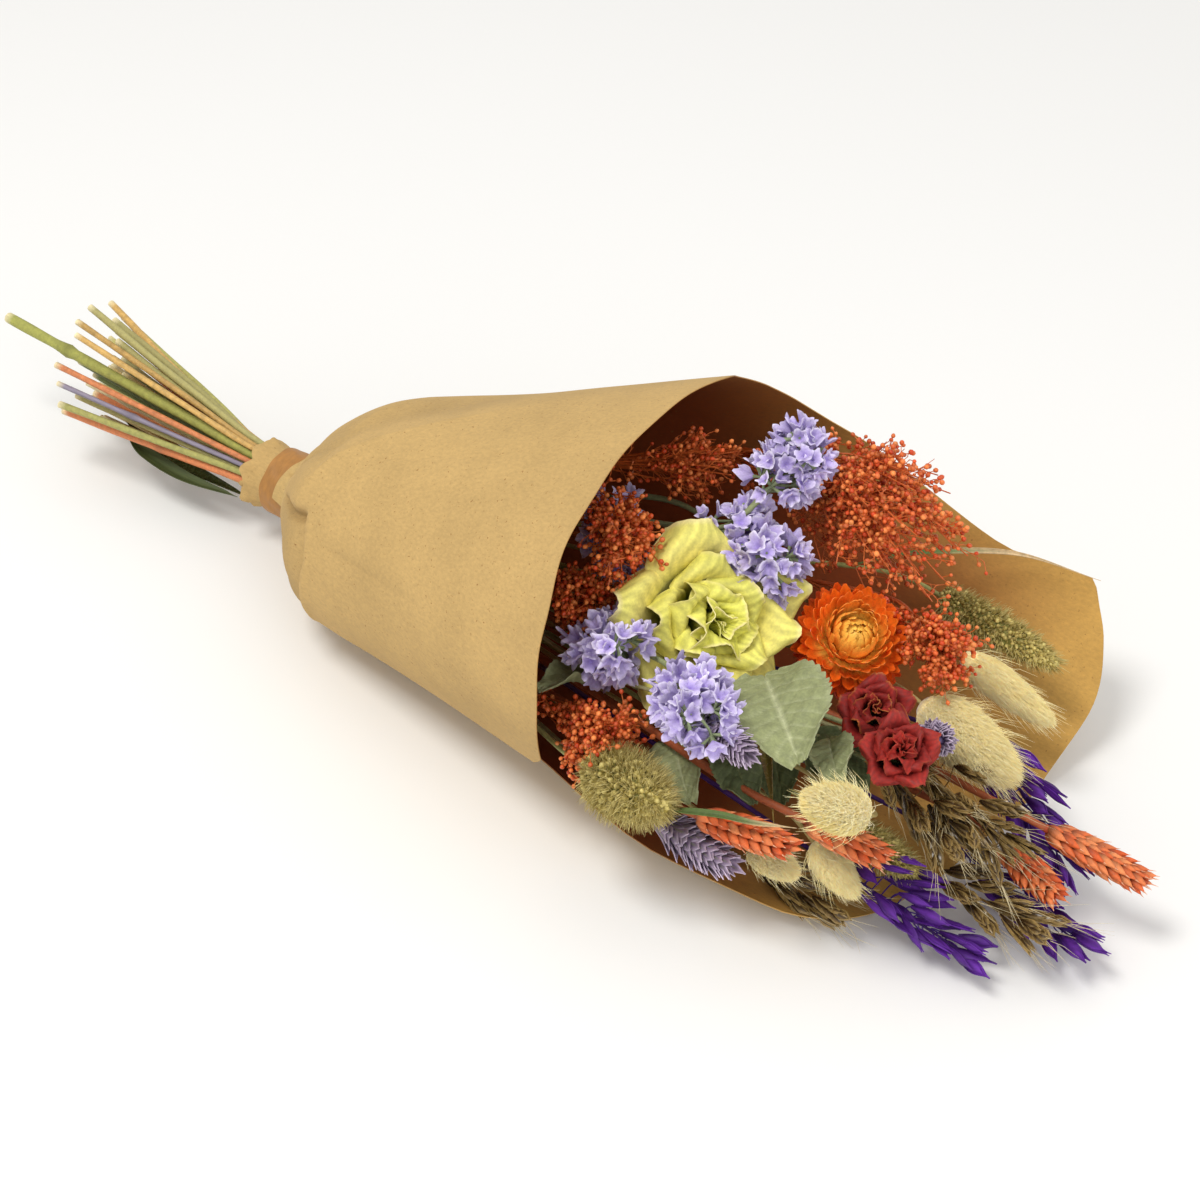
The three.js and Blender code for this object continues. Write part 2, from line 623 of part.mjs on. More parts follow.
const ROSE_BUD = [[0, 0], [6, 1], [6.6, 14], [0, 25]];
const ROSE_RINGS = [
  {
    count: 3, turn: 0.2, spread: 0.9, rows: 2,
    root: 4, foot: 12, lip: 9.5, height: 26, roll: 0.6, lap: 1.2,
  },
  {
    count: 3, turn: 1.2, spread: 0.92, rows: 3,
    root: 4, foot: 8, lip: 14.5, height: 26, roll: 1.4, lap: 1.2,
  },
  {
    count: 4, turn: 0.3, spread: 0.74, rows: 3,
    root: 4, foot: 4.5, lip: 20, height: 23.5, roll: 2.6, lap: 1.3,
  },
  {
    count: 5, turn: 0.8, spread: 0.6, rows: 3,
    root: 4, foot: 1.5, lip: 25.5, height: 19, roll: 3, lap: 1.4,
  },
];
const RED_BUD = [[0, 0.3], [3.2, 1.5], [3.6, 7], [0, 13]];
const RED_RINGS = [
  {
    count: 3, turn: 0.5, spread: 0.8, rows: 2,
    root: 2.2, foot: 5, lip: 6, height: 13, roll: 0.4, lap: 0.8,
  },
  {
    count: 4, turn: 0.1, spread: 0.7, rows: 2,
    root: 2.2, foot: 2, lip: 9.6, height: 11.5, roll: 1.4, lap: 1,
  },
];

// The strawflower's dome as [radius, height], and its rings of bracts: where they start, how far
// they reach and climb, and how wide they are.
const STRAW_DOME = [[0, 0], [9, 2], [11.5, 7], [9, 13], [0, 16.5]];
const STRAW_RINGS = [
  { count: 6, at: 5.5, rise: 13, reach: 9, climb: 7, width: 4 },
  { count: 9, at: 8, rise: 10, reach: 16, climb: 8.5, width: 5.8 },
  { count: 11, at: 9, rise: 7, reach: 21, climb: 4.5, width: 6.8 },
  { count: 10, at: 9, rise: 4, reach: 22.5, climb: -1.5, width: 7 },
];
const BRACT_THICKNESS = 1.3;

/** A strawflower: papery pointed bracts in many rings round a low dome. */
function strawflowerBloom() {
  const name = "strawflower";
  const frame = headFrame(HEADS[name]);
  const pieces = [stand(name, spindle(frame, STRAW_DOME, 8))];
  STRAW_RINGS.forEach((ring, level) => {
    for (let i = 0; i < ring.count; i++) {
      addWhereClear(pieces, name, (attempt) => {
        const angle = ((i + 0.5 * (level % 2)) / ring.count) * 2 * Math.PI;
        const reach = ring.reach * (1 - 0.15 * attempt);
        const root = aroundAxis(frame, ring.at, angle, ring.rise);
        const tip = aroundAxis(frame, reach, angle, ring.rise + ring.climb);
        return lens(root, tip, ring.width, BRACT_THICKNESS, rollFacing(root, tip, frame));
      });
    }
  });
  return fuse(pieces);
}

/** The turn about a lens's own length that lays its flat side across the head's radius. */
function rollFacing(root, tip, frame) {
  const own = frameAlong(root, tip);
  const axis = inFrame(frame, 0, 0, 1).sub(inFrame(frame, 0, 0, 0));
  const x = vec(0, 0, 0).setFromMatrixColumn(own, 0);
  const y = vec(0, 0, 0).setFromMatrixColumn(own, 1);
  return Math.atan2(axis.dot(y), axis.dot(x)) + Math.PI / 2;
}

const CORE_START = -0.06; // a core that is fused to its stem starts this share below its base
const RETRY_SHRINK = 0.2; // each new try at a hair, scale or grain is this much smaller

/** An ear that carries scales, grains or hairs evenly round a slim core. */
function ear(name, stem, { core, coreSides = 6, count, from, to, make }) {
  const head = HEADS[name];
  const frame = headFrame(head);
  const length = headLength(head);
  const body = spindle(frame, core.map(([radius, share]) => [radius, share * length]), coreSides);
  const pieces = stem ? [stem, stand(name, body)] : [stand(name, body)];
  const random = randomStream(SEED + count * 13 + Math.round(length * 31));
  for (let i = 0; i < count; i++) {
    const share = mix(from, to, (i + 0.5) / count);
    const angle = i * GOLDEN_ANGLE;
    addWhereClear(pieces, name, (attempt) => {
      const shrink = 1 - RETRY_SHRINK * attempt;
      return make({ frame, length, share, angle, random, shrink, i });
    });
  }
  return fuse(pieces);
}

/** The radius of a core outline at a share of the head's length. */
const coreRadius = (core, share) => lookUp(core.map(([radius, at]) => [at, radius]), share)[0];

function aroundAxis(frame, radius, angle, height) {
  return inFrame(frame, radius * Math.cos(angle), radius * Math.sin(angle), height);
}

// A bunny tail's core as [share of its radius, share of its length], and its tufts of hair.
const BUNNY = {
  core: [[0, 0.01], [0.55, 0.08], [0.8, 0.35], [0.66, 0.7], [0, 1]],
  tufts: 13,
  tuftRadius: 1.7,
  rootDepth: 0.6,
  lean: [0.16, 0.3],
  reach: [0.55, 0.3],
};

/** A bunny tail: a soft egg-shaped head of hair, here as stout pointed tufts. */
function bunnyTail(name) {
  const wide = HEADS[name].radius;
  const core = BUNNY.core.map(([radius, share]) => [radius * wide, share]);
  return ear(name, null, {
    core,
    coreSides: 6,
    count: BUNNY.tufts,
    from: 0.04,
    to: 0.97,
    make: ({ frame, length, share, angle, random, shrink }) => {
      const inner = coreRadius(core, share) * BUNNY.rootDepth;
      const root = aroundAxis(frame, inner, angle, share * length);
      const lean = mix(...BUNNY.lean, random()) * length * shrink;
      const outer = inner + wide * mix(...BUNNY.reach, share) * shrink;
      const tip = aroundAxis(frame, outer, angle, share * length + lean);
      return spike(root, tip, BUNNY.tuftRadius);
    },
  });
}

// A foxtail's seeds stand in rows that bulge and narrow by turns; its bristles lean to the tip.
const FOXTAIL = {
  rows: 7,
  seeds: 0.68,
  between: 0.78,
  bristles: 11,
  bristleRadius: 1,
  lean: [3, 7],
  reach: [0.75, 0.5],
};

/** Foxtail millet: a knobbly head of seeds with stiff bristles. */
function foxtail(name, stem) {
  const wide = HEADS[name].radius;
  const core = [[0, CORE_START]];
  for (let i = 0; i < FOXTAIL.rows; i++) {
    const share = (i + 0.5) / FOXTAIL.rows;
    const bulge = FOXTAIL.seeds * Math.sin(Math.PI * mix(0.16, 0.9, share)) ** 0.6;
    core.push([wide * bulge * (i % 2 ? 1 : FOXTAIL.between), share]);
  }
  core.push([0, 1]);
  return ear(name, stem, {
    core,
    coreSides: 6,
    count: FOXTAIL.bristles,
    from: 0.05,
    to: 0.97,
    make: ({ frame, length, share, angle, random, shrink }) => {
      const surface = coreRadius(core, share);
      const root = aroundAxis(frame, surface * 0.5, angle, share * length - 1);
      const outer = surface + wide * mix(...FOXTAIL.reach, share) * shrink;
      const tip = aroundAxis(frame, outer, angle, share * length + mix(...FOXTAIL.lean, random()));
      return spike(root, tip, FOXTAIL.bristleRadius);
    },
  });
}

const CANARY = {
  core: [[0, 0.01], [0.55, 0.12], [0.6, 0.5], [0, 0.98]],
  scales: 10,
  scaleWidth: 0.9,
  scaleThickness: 1.4,
  standOff: 0.42,
  climb: 0.16,
};

/** A canary grass head: a short oval of overlapping keeled scales. */
function canaryGrass(name) {
  const wide = HEADS[name].radius;
  const core = CANARY.core.map(([radius, share]) => [radius * wide, share]);
  return ear(name, null, {
    core,
    coreSides: 5,
    count: CANARY.scales,
    from: 0.06,
    to: 0.86,
    make: ({ frame, length, share, angle, shrink }) => {
      const surface = coreRadius(core, share);
      const root = aroundAxis(frame, surface * 0.6, angle, share * length - 1.5);
      const outer = surface + wide * CANARY.standOff * shrink;
      const tip = aroundAxis(frame, outer, angle, (share + CANARY.climb) * length);
      const roll = rollFacing(root, tip, frame);
      return lens(root, tip, wide * CANARY.scaleWidth, CANARY.scaleThickness, roll);
    },
  });
}

const GRAIN = { count: 12, length: 12, width: 5.6, thickness: 4.6, atRanks: 0.95, between: 0.6 };

/** A wheat ear: plump grains in two braided ranks, with smaller ones between them. */
function wheatEar(name, stem) {
  const wide = HEADS[name].radius;
  return ear(name, stem, {
    core: [[0, CORE_START], [2, 0.05], [0, 0.95]],
    coreSides: 4,
    count: GRAIN.count,
    from: 0,
    to: 0.9,
    make: ({ frame, length, share, shrink, i }) => {
      const rank = [0, Math.PI, 0.5 * Math.PI, 1.5 * Math.PI][i % 4];
      const outward = i % 4 < 2 ? GRAIN.atRanks : GRAIN.between;
      const taper = Math.sin(Math.PI * mix(0.28, 0.85, share)) * shrink;
      const root = aroundAxis(frame, 0.8, rank, share * length);
      const tip = aroundAxis(frame, wide * outward * taper, rank, share * length + GRAIN.length);
      return lens(root, tip, GRAIN.width, GRAIN.thickness);
    },
  });
}

/** An open panicle: pointed spikelets on fine stalks. */
function panicle(name, stem, { count, spikelet, width, open, stalk }) {
  const head = HEADS[name];
  const frame = headFrame(head);
  const length = headLength(head);
  const random = randomStream(SEED + count * 17 + Math.round(length * 29));
  const spine = beads([
    [inFrame(frame, 0, 0, -1), 0.8],
    [inFrame(frame, 0, 0, length * 0.7), 0.6],
    [inFrame(frame, 0, 0, length * 0.82), width / 2],
    [inFrame(frame, 0, 0, length), 0],
  ]);
  const pieces = [stem, stand(name, spine)];
  for (let i = 0; i < count; i++) {
    const share = mix(0.04, 0.7, i / count);
    const angle = i * GOLDEN_ANGLE + random() * 0.6;
    addWhereClear(pieces, name, (attempt) => {
      const reach = open * mix(1, 0.45, share) * (1 - 0.3 * attempt) * mix(0.8, 1.1, random());
      const height = share * length + stalk;
      return beads([
        [inFrame(frame, 0, 0, share * length), 0.4],
        [aroundAxis(frame, reach * 0.9, angle, height), 0.4],
        [aroundAxis(frame, reach * 1.25, angle, height + spikelet * 0.4), width / 2],
        [aroundAxis(frame, reach * 1.4, angle, height + spikelet), 0],
      ]);
    });
  }
  return fuse(pieces);
}

const FLORET = { radius: 5.6, height: 7.5, lobes: 5, notch: 0.6, throat: 0.72 };
// Where the twigs of a statice spray leave its stem, and how far out and up they reach.
const STATICE = { from: 0.1, to: 0.78, reach: [0.75, 0.45], climb: 0.75, twig: [0.6, 0.5] };

/** One papery floret of statice: a five-lobed funnel with a sunk throat. */
function floretGeometry() {
  const { radius, height, lobes, notch, throat } = FLORET;
  const positions = [0, 0, 0, 0, 0, height * throat];
  for (let i = 0; i < 2 * lobes; i++) {
    const angle = (i / lobes) * Math.PI;
    const reach = i % 2 ? radius * notch : radius;
    positions.push(reach * Math.cos(angle), reach * Math.sin(angle), height);
  }
  const index = [];
  for (let i = 0; i < 2 * lobes; i++) {
    const [a, b] = [2 + i, 2 + ((i + 1) % (2 * lobes))];
    index.push(0, b, a, 1, a, b);
  }
  const geometry = new THREE.BufferGeometry();
  geometry.setAttribute("position", new THREE.Float32BufferAttribute(positions, 3));
  geometry.setIndex(index);
  return geometry;
}

/** A statice spray: twigs that end in papery florets. */
function statice(name, stem, branches) {
  const head = HEADS[name];
  const frame = headFrame(head);
  const length = headLength(head);
  const random = randomStream(SEED + branches * 101 + Math.round(length * 37));
  const spine = twig(inFrame(frame, 0, 0, -1), inFrame(frame, 0, 0, length * 0.8), 0.9, 0.7, 4);
  const pieces = [stem, stand(name, spine)];
  const floret = floretGeometry();
  for (let i = 0; i < branches; i++) {
    const share = mix(STATICE.from, STATICE.to, i / branches);
    const angle = i * GOLDEN_ANGLE;
    const joint = inFrame(frame, 0, 0, share * length);
    let end = null;
    const grown = addWhereClear(pieces, name, (attempt) => {
      const reach = head.radius * mix(...STATICE.reach, share) * (1 - 0.3 * attempt);
      const height = share * length + reach * STATICE.climb;
      end = aroundAxis(frame, reach, angle + 0.7 * attempt, height);
      return twig(joint, end, ...STATICE.twig);
    });
    if (!grown) continue;
    addWhereClear(pieces, name, (attempt) => {
      const root = end.clone().lerp(joint, 0.05 + 0.04 * attempt);
      const facing = end.clone().add(end).sub(joint);
      return placed(floret, frameAlong(root, facing, random() * Math.PI));
    }, 4);
  }
  return fuse(pieces);
}

// Where the twigs of a broom spray leave its stem, how far they reach and climb, and their buds.
const BROOM = {
  to: 0.58,
  reach: [0.62, 1],
  climb: [0.3, 0.42],
  twig: 0.5,
  waist: 0.45,
  bud: [1.9, 2.4],
  budded: 0.68,
  sway: 2.2,
};

/** A broom spray: fine twigs set with small round buds. */
function broom(name, stem, branches, buds) {
  const head = HEADS[name];
  const frame = headFrame(head);
  const length = headLength(head);
  const random = randomStream(SEED + branches * 211 + Math.round(length * 41));
  const spine = twig(inFrame(frame, 0, 0, -1), inFrame(frame, 0, 0, length * 0.6), 0.9, 0.6);
  const pieces = [stem, stand(name, spine)];
  for (let i = 0; i < branches; i++) {
    const angle = i * GOLDEN_ANGLE;
    const share = mix(0.02, BROOM.to, i / branches);
    const joint = inFrame(frame, 0, 0, share * length);
    addWhereClear(pieces, name, (attempt) => {
      const reach = head.radius * mix(...BROOM.reach, random()) * (1 - 0.25 * attempt);
      const climb = mix(...BROOM.climb, random()) * length;
      const height = Math.min(length, share * length + climb);
      const end = aroundAxis(frame, reach, angle + 0.5 * attempt, height);
      const rings = [[joint, BROOM.twig]];
      for (let k = 0; k < buds; k++) {
        const along = 1 - (BROOM.budded * (buds - 1 - k)) / buds;
        const sway = vec(random() - 0.5, random() - 0.5, random() - 0.5).multiplyScalar(BROOM.sway);
        const centre = joint.clone().lerp(end, along);
        rings.push([centre.clone().lerp(joint, 0.12), BROOM.waist]);
        rings.push([centre.add(sway), mix(...BROOM.bud, random())]);
      }
      rings.push([end.clone().lerp(joint, -0.1), 0]);
      return beads(rings);
    }, 5);
  }
  return fuse(pieces);
}

/** The middle surface of a toothed leaf along +Z, folded along its midrib and arched. */
function leafSurface(length, halfWidth, teeth) {
  return (u, v) => {
    const row = Math.round(u * 2 * teeth);
    const tooth = row % 2 ? 1 : LEAF.notch;
    const outline = Math.sin(Math.PI * Math.min(1, 0.05 + 0.93 * u) ** 0.8) ** 0.8;
    const x = v * (halfWidth * outline * tooth + 0.5);
    return vec(x, LEAF.fold * Math.abs(x) + LEAF.arch * length * 4 * u * (1 - u), u * length);
  };
}

/** Adds a leaf on a short stalk from a point of the plant. */
function addLeaf(pieces, owner, from, { base, tip, halfWidth, roll, teeth = 5 }) {
  addWhereClear(pieces, owner, (attempt) => {
    const length = base.distanceTo(tip) * (1 - 0.1 * attempt);
    const surface = leafSurface(length, halfWidth * (1 - 0.14 * attempt), teeth);
    const frame = frameAlong(base, tip, roll + 0.12 * attempt);
    const leaf = placed(bladeGeometry(2 * teeth, 2, LEAF.thickness, surface), frame);
    const stalkEnd = surface(LEAF.stalkMeets, 0).applyMatrix4(frame);
    return twig(from, stalkEnd, 0.8, 0.7, 4).add(leaf);
  }, 5);
}

/** A grass blade: a ribbon through given points with its flat side up, widest in its middle. */
function grassBlade(points, halfWidth) {
  const line = new THREE.CatmullRomCurve3(points);
  return solidOf(bladeGeometry(GRASS_BLADE.rows, 1, GRASS_BLADE.thickness, (u, v) => {
    const across = vec(0, 0, 1).cross(line.getTangent(u)).normalize();
    const width = halfWidth * mix(GRASS_BLADE.narrowest, 1, Math.sin(Math.PI * u ** 0.8));
    return line.getPoint(u).addScaledVector(across, v * width);
  }));
}

/** The point of a stem at x, for a leaf that grows there. */
function stemPoint(name, x) {
  const { y, z } = crossingAt(stemOf[name].points, x);
  return vec(x, y, z);
}

// ---------------------------------------------------------------- assembly

const bouquet = new THREE.Group();

function addNode(name, solid, colour, roughness = 0.85) {
  const { numProp, vertProperties, triVerts } = solid.getMesh();
  if (numProp !== 3) throw new Error(`${name}: more than positions in the solid`);
  const geometry = new THREE.BufferGeometry();
  geometry.setAttribute("position", new THREE.BufferAttribute(new Float32Array(vertProperties), 3));
  geometry.setIndex(new THREE.BufferAttribute(new Uint32Array(triVerts), 1));
  geometry.computeVertexNormals();
  const mesh = new THREE.Mesh(geometry, new THREE.MeshStandardMaterial({ color: colour, roughness }));
  mesh.name = name;
  bouquet.add(mesh);
}

addNode("paper_wrap", stand("paper_wrap", paperWrap()), COLOUR.kraft, 0.9);
addNode("neck_tape", stand("neck_tape", tapeBand()), COLOUR.tape, 0.6);

const stemOf = {};
for (const { name, points, radius } of makeStems()) {
  // A head that is a body of its own starts just past the end of its stem.
  const own = !FUSED_KINDS.test(name);
  if (own) points.at(-1).lerp(points.at(-2), GAP / STEM_LEAD);
  const solid = stemSolid(points, radius);
  stemOf[name] = { solid: stand(own ? `${name}_stem` : name, solid), points };
}
const stem = (name) => stemOf[name].solid;

/** Gives a stem a grass blade that starts on it at x and runs on through the given points. */
function growBlade(name, owner, x, points, halfWidth) {
  const blade = grassBlade([stemPoint(name, x), ...points], halfWidth);
  if (!isClear(blade, owner)) throw new Error(`the blade of ${name} touches another plant`);
  stemOf[name].solid = fuse([stem(name), stand(owner, blade)]);
}

// A ribbon leaf that leans over the far edge of the paper, a blade among the ears in front, and two
// dark blades that lie under the bundle at its cut end.
growBlade("foxtail_1", "foxtail_1", 232, [vec(262, 77, 62), vec(288, 90, 65), vec(318, 99, 61)], 2.6);
growBlade("wheat_1", "wheat_1", 258, [vec(272, -92, 55), vec(292, -89, 60), vec(309, -81, 60)], 2);
growBlade("brome_4", "brome_4", -90, [vec(-70, 1, 15), vec(-44, -2, 13), vec(-13, -3, 14.5)], 3);
growBlade(
  "canary_grass_1", "canary_grass_1_stem", -80,
  [vec(-64, -12, 15), vec(-42, -13, 13), vec(-14, -10, 15)], 2.6);

addNode("rose_bloom", roseBloom("rose", ROSE_RINGS, ROSE_BUD), COLOUR.rose, 0.8);
addNode("strawflower_bloom", strawflowerBloom(), COLOUR.strawflower, 0.6);
for (const k of [1, 2]) {
  addNode(`red_rose_bloom_${k}`, roseBloom(`red_rose_${k}`, RED_RINGS, RED_BUD), COLOUR.redRose, 0.8);
}
for (const k of [1, 2, 3, 4, 5]) addNode(`bunny_tail_${k}`, bunnyTail(`bunny_tail_${k}`), COLOUR.bunny);
for (const k of [1, 2, 3]) {
  addNode(`foxtail_${k}`, foxtail(`foxtail_${k}`, stem(`foxtail_${k}`)), COLOUR.foxtail);
}
for (const k of [1, 2, 3]) {
  addNode(`canary_grass_${k}`, canaryGrass(`canary_grass_${k}`), COLOUR.canary);
}
for (const k of [1, 2, 3, 4]) {
  addNode(`wheat_${k}`, wheatEar(`wheat_${k}`, stem(`wheat_${k}`)), COLOUR.wheat);
}
const OAT = { count: 7, spikelet: 19, width: 4.4, open: 7, stalk: 7 };
for (const k of [1, 2, 3]) addNode(`oat_${k}`, panicle(`oat_${k}`, stem(`oat_${k}`), OAT), COLOUR.oat);
const BROME = { count: 5, spikelet: 13, width: 3.4, open: 3.4, stalk: 2 };
for (const k of [1, 2, 3, 4]) {
  addNode(`brome_${k}`, panicle(`brome_${k}`, stem(`brome_${k}`), BROME), COLOUR.brome, 0.5);
}

/** Green stems with what grows on them: a leafy stem for each flower that is its own body. */
function greenStem(name, leaves = []) {
  const owner = `${name}_stem`;
  const pieces = [stem(name)];
  const joint = stemOf[name].points.at(-2);
  for (const leaf of leaves) addLeaf(pieces, owner, joint, leaf);
  return fuse(pieces);
}
addNode("rose_stem", greenStem("rose", [
  { base: vec(236, -50, 44), tip: vec(262, -75, 42), halfWidth: 10, roll: 0.4 },
  { base: vec(204, -44, 50), tip: vec(196, -74, 58), halfWidth: 9, roll: 0.2 },
]), COLOUR.leaf);
addNode("strawflower_stem", greenStem("strawflower"), COLOUR.straw);
addNode("red_rose_stem_1", greenStem("red_rose_1", [
  { base: vec(290, -34, 58), tip: vec(312, -62, 68), halfWidth: 8, roll: 0.3 },
]), COLOUR.leaf);
addNode("red_rose_stem_2", greenStem("red_rose_2"), COLOUR.leaf);
for (const k of [1, 2, 3, 4, 5]) {
  addNode(`bunny_tail_stem_${k}`, stem(`bunny_tail_${k}`), COLOUR.straw);
}
for (const k of [1, 2, 3]) {
  addNode(`canary_grass_stem_${k}`, stem(`canary_grass_${k}`), COLOUR.straw);
}

const leafSpray = [stem("leaf_spray")];
addLeaf(leafSpray, "leaf_spray", stemOf.leaf_spray.points.at(-1), {
  base: vec(263, -35, 73),
  tip: vec(301, -69, 75),
  halfWidth: 19,
  roll: 0.25,
});
addNode("leaf_spray", fuse(leafSpray), COLOUR.leaf);

const STATICE_TWIGS = { statice_1: 7, statice_2: 8, statice_3: 5, statice_4: 5, statice_5: 4 };
for (const [name, twigs] of Object.entries(STATICE_TWIGS)) {
  addNode(name, statice(name, stem(name), twigs), COLOUR.statice, 0.7);
}
addNode("broom_1", broom("broom_1", stem("broom_1"), 11, 4), COLOUR.broom);
for (const k of [2, 3, 4, 5, 6]) {
  addNode(`broom_${k}`, broom(`broom_${k}`, stem(`broom_${k}`), 5, 3), COLOUR.broom);
}

// The part's own origin is on the surface, under the middle of its box.
const box = new THREE.Box3().setFromObject(bouquet);
const middle = box.getCenter(vec(0, 0, 0));
bouquet.position.set(-middle.x, -middle.y, -box.min.z);

export default bouquet;
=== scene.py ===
"""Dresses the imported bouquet: finer paper, stems, leaves and flower heads over the CAD nodes.

Shapes are written in millimetres in the bouquet's own frame, measured from the tie as in the
part's source: X towards the heads, Y to the far side and Z up. piece() moves them to the row frame.
Colours are written as they show, such as "c9a267". Each head draws its random numbers by its name.
"""
import math
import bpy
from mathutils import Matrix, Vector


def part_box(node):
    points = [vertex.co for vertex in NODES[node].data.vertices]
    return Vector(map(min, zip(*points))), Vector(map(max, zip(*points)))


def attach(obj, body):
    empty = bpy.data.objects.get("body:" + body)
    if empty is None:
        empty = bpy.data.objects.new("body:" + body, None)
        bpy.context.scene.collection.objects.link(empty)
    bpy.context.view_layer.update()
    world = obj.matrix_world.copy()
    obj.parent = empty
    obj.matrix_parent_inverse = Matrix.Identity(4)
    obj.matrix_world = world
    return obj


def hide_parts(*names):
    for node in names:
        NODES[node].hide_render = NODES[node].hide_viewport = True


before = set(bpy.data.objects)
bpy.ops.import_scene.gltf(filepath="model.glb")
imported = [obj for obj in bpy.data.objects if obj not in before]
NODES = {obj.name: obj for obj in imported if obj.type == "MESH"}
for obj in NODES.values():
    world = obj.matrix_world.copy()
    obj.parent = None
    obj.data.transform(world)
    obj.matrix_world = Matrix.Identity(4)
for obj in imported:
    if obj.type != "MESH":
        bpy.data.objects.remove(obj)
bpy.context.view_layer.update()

import zlib

import bpy
import numpy as np
from mathutils import Vector

MM = 0.001
GOLDEN_ANGLE = math.pi * (3 - math.sqrt(5))

# ---------------------------------------------------------------- sizes shared with the source

TIE_HEIGHT = 27.6
TAPE = {"start": 3.0, "end": 14.0}
SHEET_START, SHEET_END = 58.0, 463.0  # degrees round the paper, from its outer to its inner edge
TUCK = {"start": 372.0, "end": 408.0, "atNeck": 1.4, "atCone": 2.0}
# Rows of x, half width, half height, centre height and centre y.
NECK_SECTIONS = [
    (-7, 14.2, 14.2, TIE_HEIGHT, 0),
    (2, 12.9, 12.9, TIE_HEIGHT, 0),
    (15, 13.2, 13.2, TIE_HEIGHT, 0),
    (26, 24, 22.5, 31, -2),
    (42, 38.4, 34, 37.5, -5),
    (60, 52.2, 43.6, 41.2, -6.9),
]
CONE = {"start": 60.0, "flare": 0.2548, "squash": 0.835, "lie": 0.945, "drift": 0.0142}
LIP = {"from": 190.0, "to": 250.0, "sink": 0.4}
# The paper's far edge as pairs of angle and x.
RIM = [
    (58, 197), (66, 206), (90, 212), (112, 210), (140, 204), (172, 202), (200, 201), (215, 195),
    (228, 197), (238, 202), (249, 210), (261, 226), (274, 247), (283, 266), (288, 283), (291, 311),
    (297, 318), (304, 324), (320, 331), (334, 329), (360, 326), (380, 318), (396, 299), (402, 275),
    (408, 250), (413, 222), (418, 198), (426, 190), (463, 184),
]
# The ridge as pairs of x and angle, and the outer layer's fold as pairs of angle and x.
RIDGE = [(60, 137), (63, 144), (67.5, 151.5), (81.5, 161), (100, 169), (117.5, 176.5), (146, 185)]
SHOULDER_FOLD = [(60, 66), (75, 67.5), (101, 72.5), (113, 70.5), (124, 67), (137.5, 60.5)]
NECK_END = 16
STEM_STATIONS = [-50, -4, 16, 70, 140, 210, 280]
STEM_LEAD = 14.0
STATION_MARGIN = {"afterCut": 18.0, "beforeLead": 16.0}

# name: the head's foot and tip, its radius, its stem's radius, and how far behind the tie that is cut
HEADS = {
    "rose": ((221, -21, 67), (241, -31, 86), 24, 1.9, 153),
    "strawflower": ((266, 11, 58), (276, 3, 76), 20, 1.2, 104),
    "red_rose_1": ((298, -21, 63), (303, -27, 75), 12, 1.1, 110),
    "red_rose_2": ((318, -36, 65), (323, -42, 77), 11.5, 1.0, 96),
    "leaf_spray": ((254, -45, 58), (259, -47, 70), 3, 1.1, 115),
    "bunny_tail_1": ((300, 10, 50), (342, -2, 48), 11, 0.9, 128),
    "bunny_tail_2": ((324, -64, 62), (315, -84, 77), 8.5, 0.9, 100),
    "bunny_tail_3": ((295, 43, 50), (329, 46, 36), 6.5, 0.9, 123),
    "bunny_tail_4": ((300, -56, 32), (320, -61, 24), 6.5, 0.9, 106),
    "bunny_tail_5": ((282, -67, 28), (303, -72, 31), 6, 0.9, 98),
    "foxtail_1": ((272, 66, 52), (323, 60, 49), 8, 1.1, 121),
    "foxtail_2": ((229, -84, 45), (265, -95, 56), 14, 1.2, 103),
    "foxtail_3": ((305, -40, 30), (331, -40, 24), 7, 1.1, 117),
    "canary_grass_1": ((252, -79, 31), (282, -84, 34), 7, 0.9, 92),
    "canary_grass_2": ((260, -67, 73), (284, -77, 77), 6, 0.9, 109),
    "canary_grass_3": ((315, -11, 57), (327, -24, 69), 5.5, 0.9, 113),
    "wheat_1": ((271, -82, 46), (313, -84, 54), 7, 1.7, 108),
    "wheat_2": ((303, -66, 50), (333, -58, 42), 6.5, 1.7, 106),
    "wheat_3": ((347, -13, 28), (382, -30, 31), 6.5, 1.6, 108),
    "wheat_4": ((362, -8, 38), (401, 0, 27), 6.5, 1.6, 102),
    "oat_1": ((324, 22, 26), (370, -1, 20), 8, 1.0, 111),
    "oat_2": ((334, -11, 14), (388, -23, 10), 8, 1.0, 118),
    "oat_3": ((318, -46, 13), (358, -50, 10), 8, 1.0, 105),
    "brome_1": ((305, -18, 42), (344, -38, 40), 5, 0.8, 109),
    "brome_2": ((325, -14, 40), (358, -32, 41), 5, 0.8, 101),
    "brome_3": ((333, -30, 17), (374, -35, 21), 5, 0.8, 114),
    "brome_4": ((273, -58, 12), (307, -58, 11), 6, 0.8, 106),
    "statice_1": ((228, 10, 107), (238, 27, 124), 14, 1.3, 118),
    "statice_2": ((207, 9, 89), (250, -2, 90), 15, 1.3, 111),
    "statice_3": ((196, -48, 62), (226, -60, 82), 12, 1.2, 103),
    "statice_4": ((246, -61, 78), (274, -83, 85), 12, 1.2, 94),
    "statice_5": ((168, -4, 87), (193, -22, 84), 11, 1.2, 99),
    "broom_1": ((205, 52, 92), (296, 27, 110), 29, 1.3, 124),
    "broom_2": ((172, 12, 98), (212, 22, 108), 13, 1.1, 116),
    "broom_3": ((176, -12, 96), (214, -41, 100), 14, 1.1, 107),
    "broom_4": ((170, -38, 70), (206, -44, 78), 14, 1.1, 112),
    "broom_5": ((198, -66, 42), (240, -82, 60), 14, 1.1, 102),
    "broom_6": ((284, 27, 70), (313, 8, 73), 12, 1.0, 120),
}
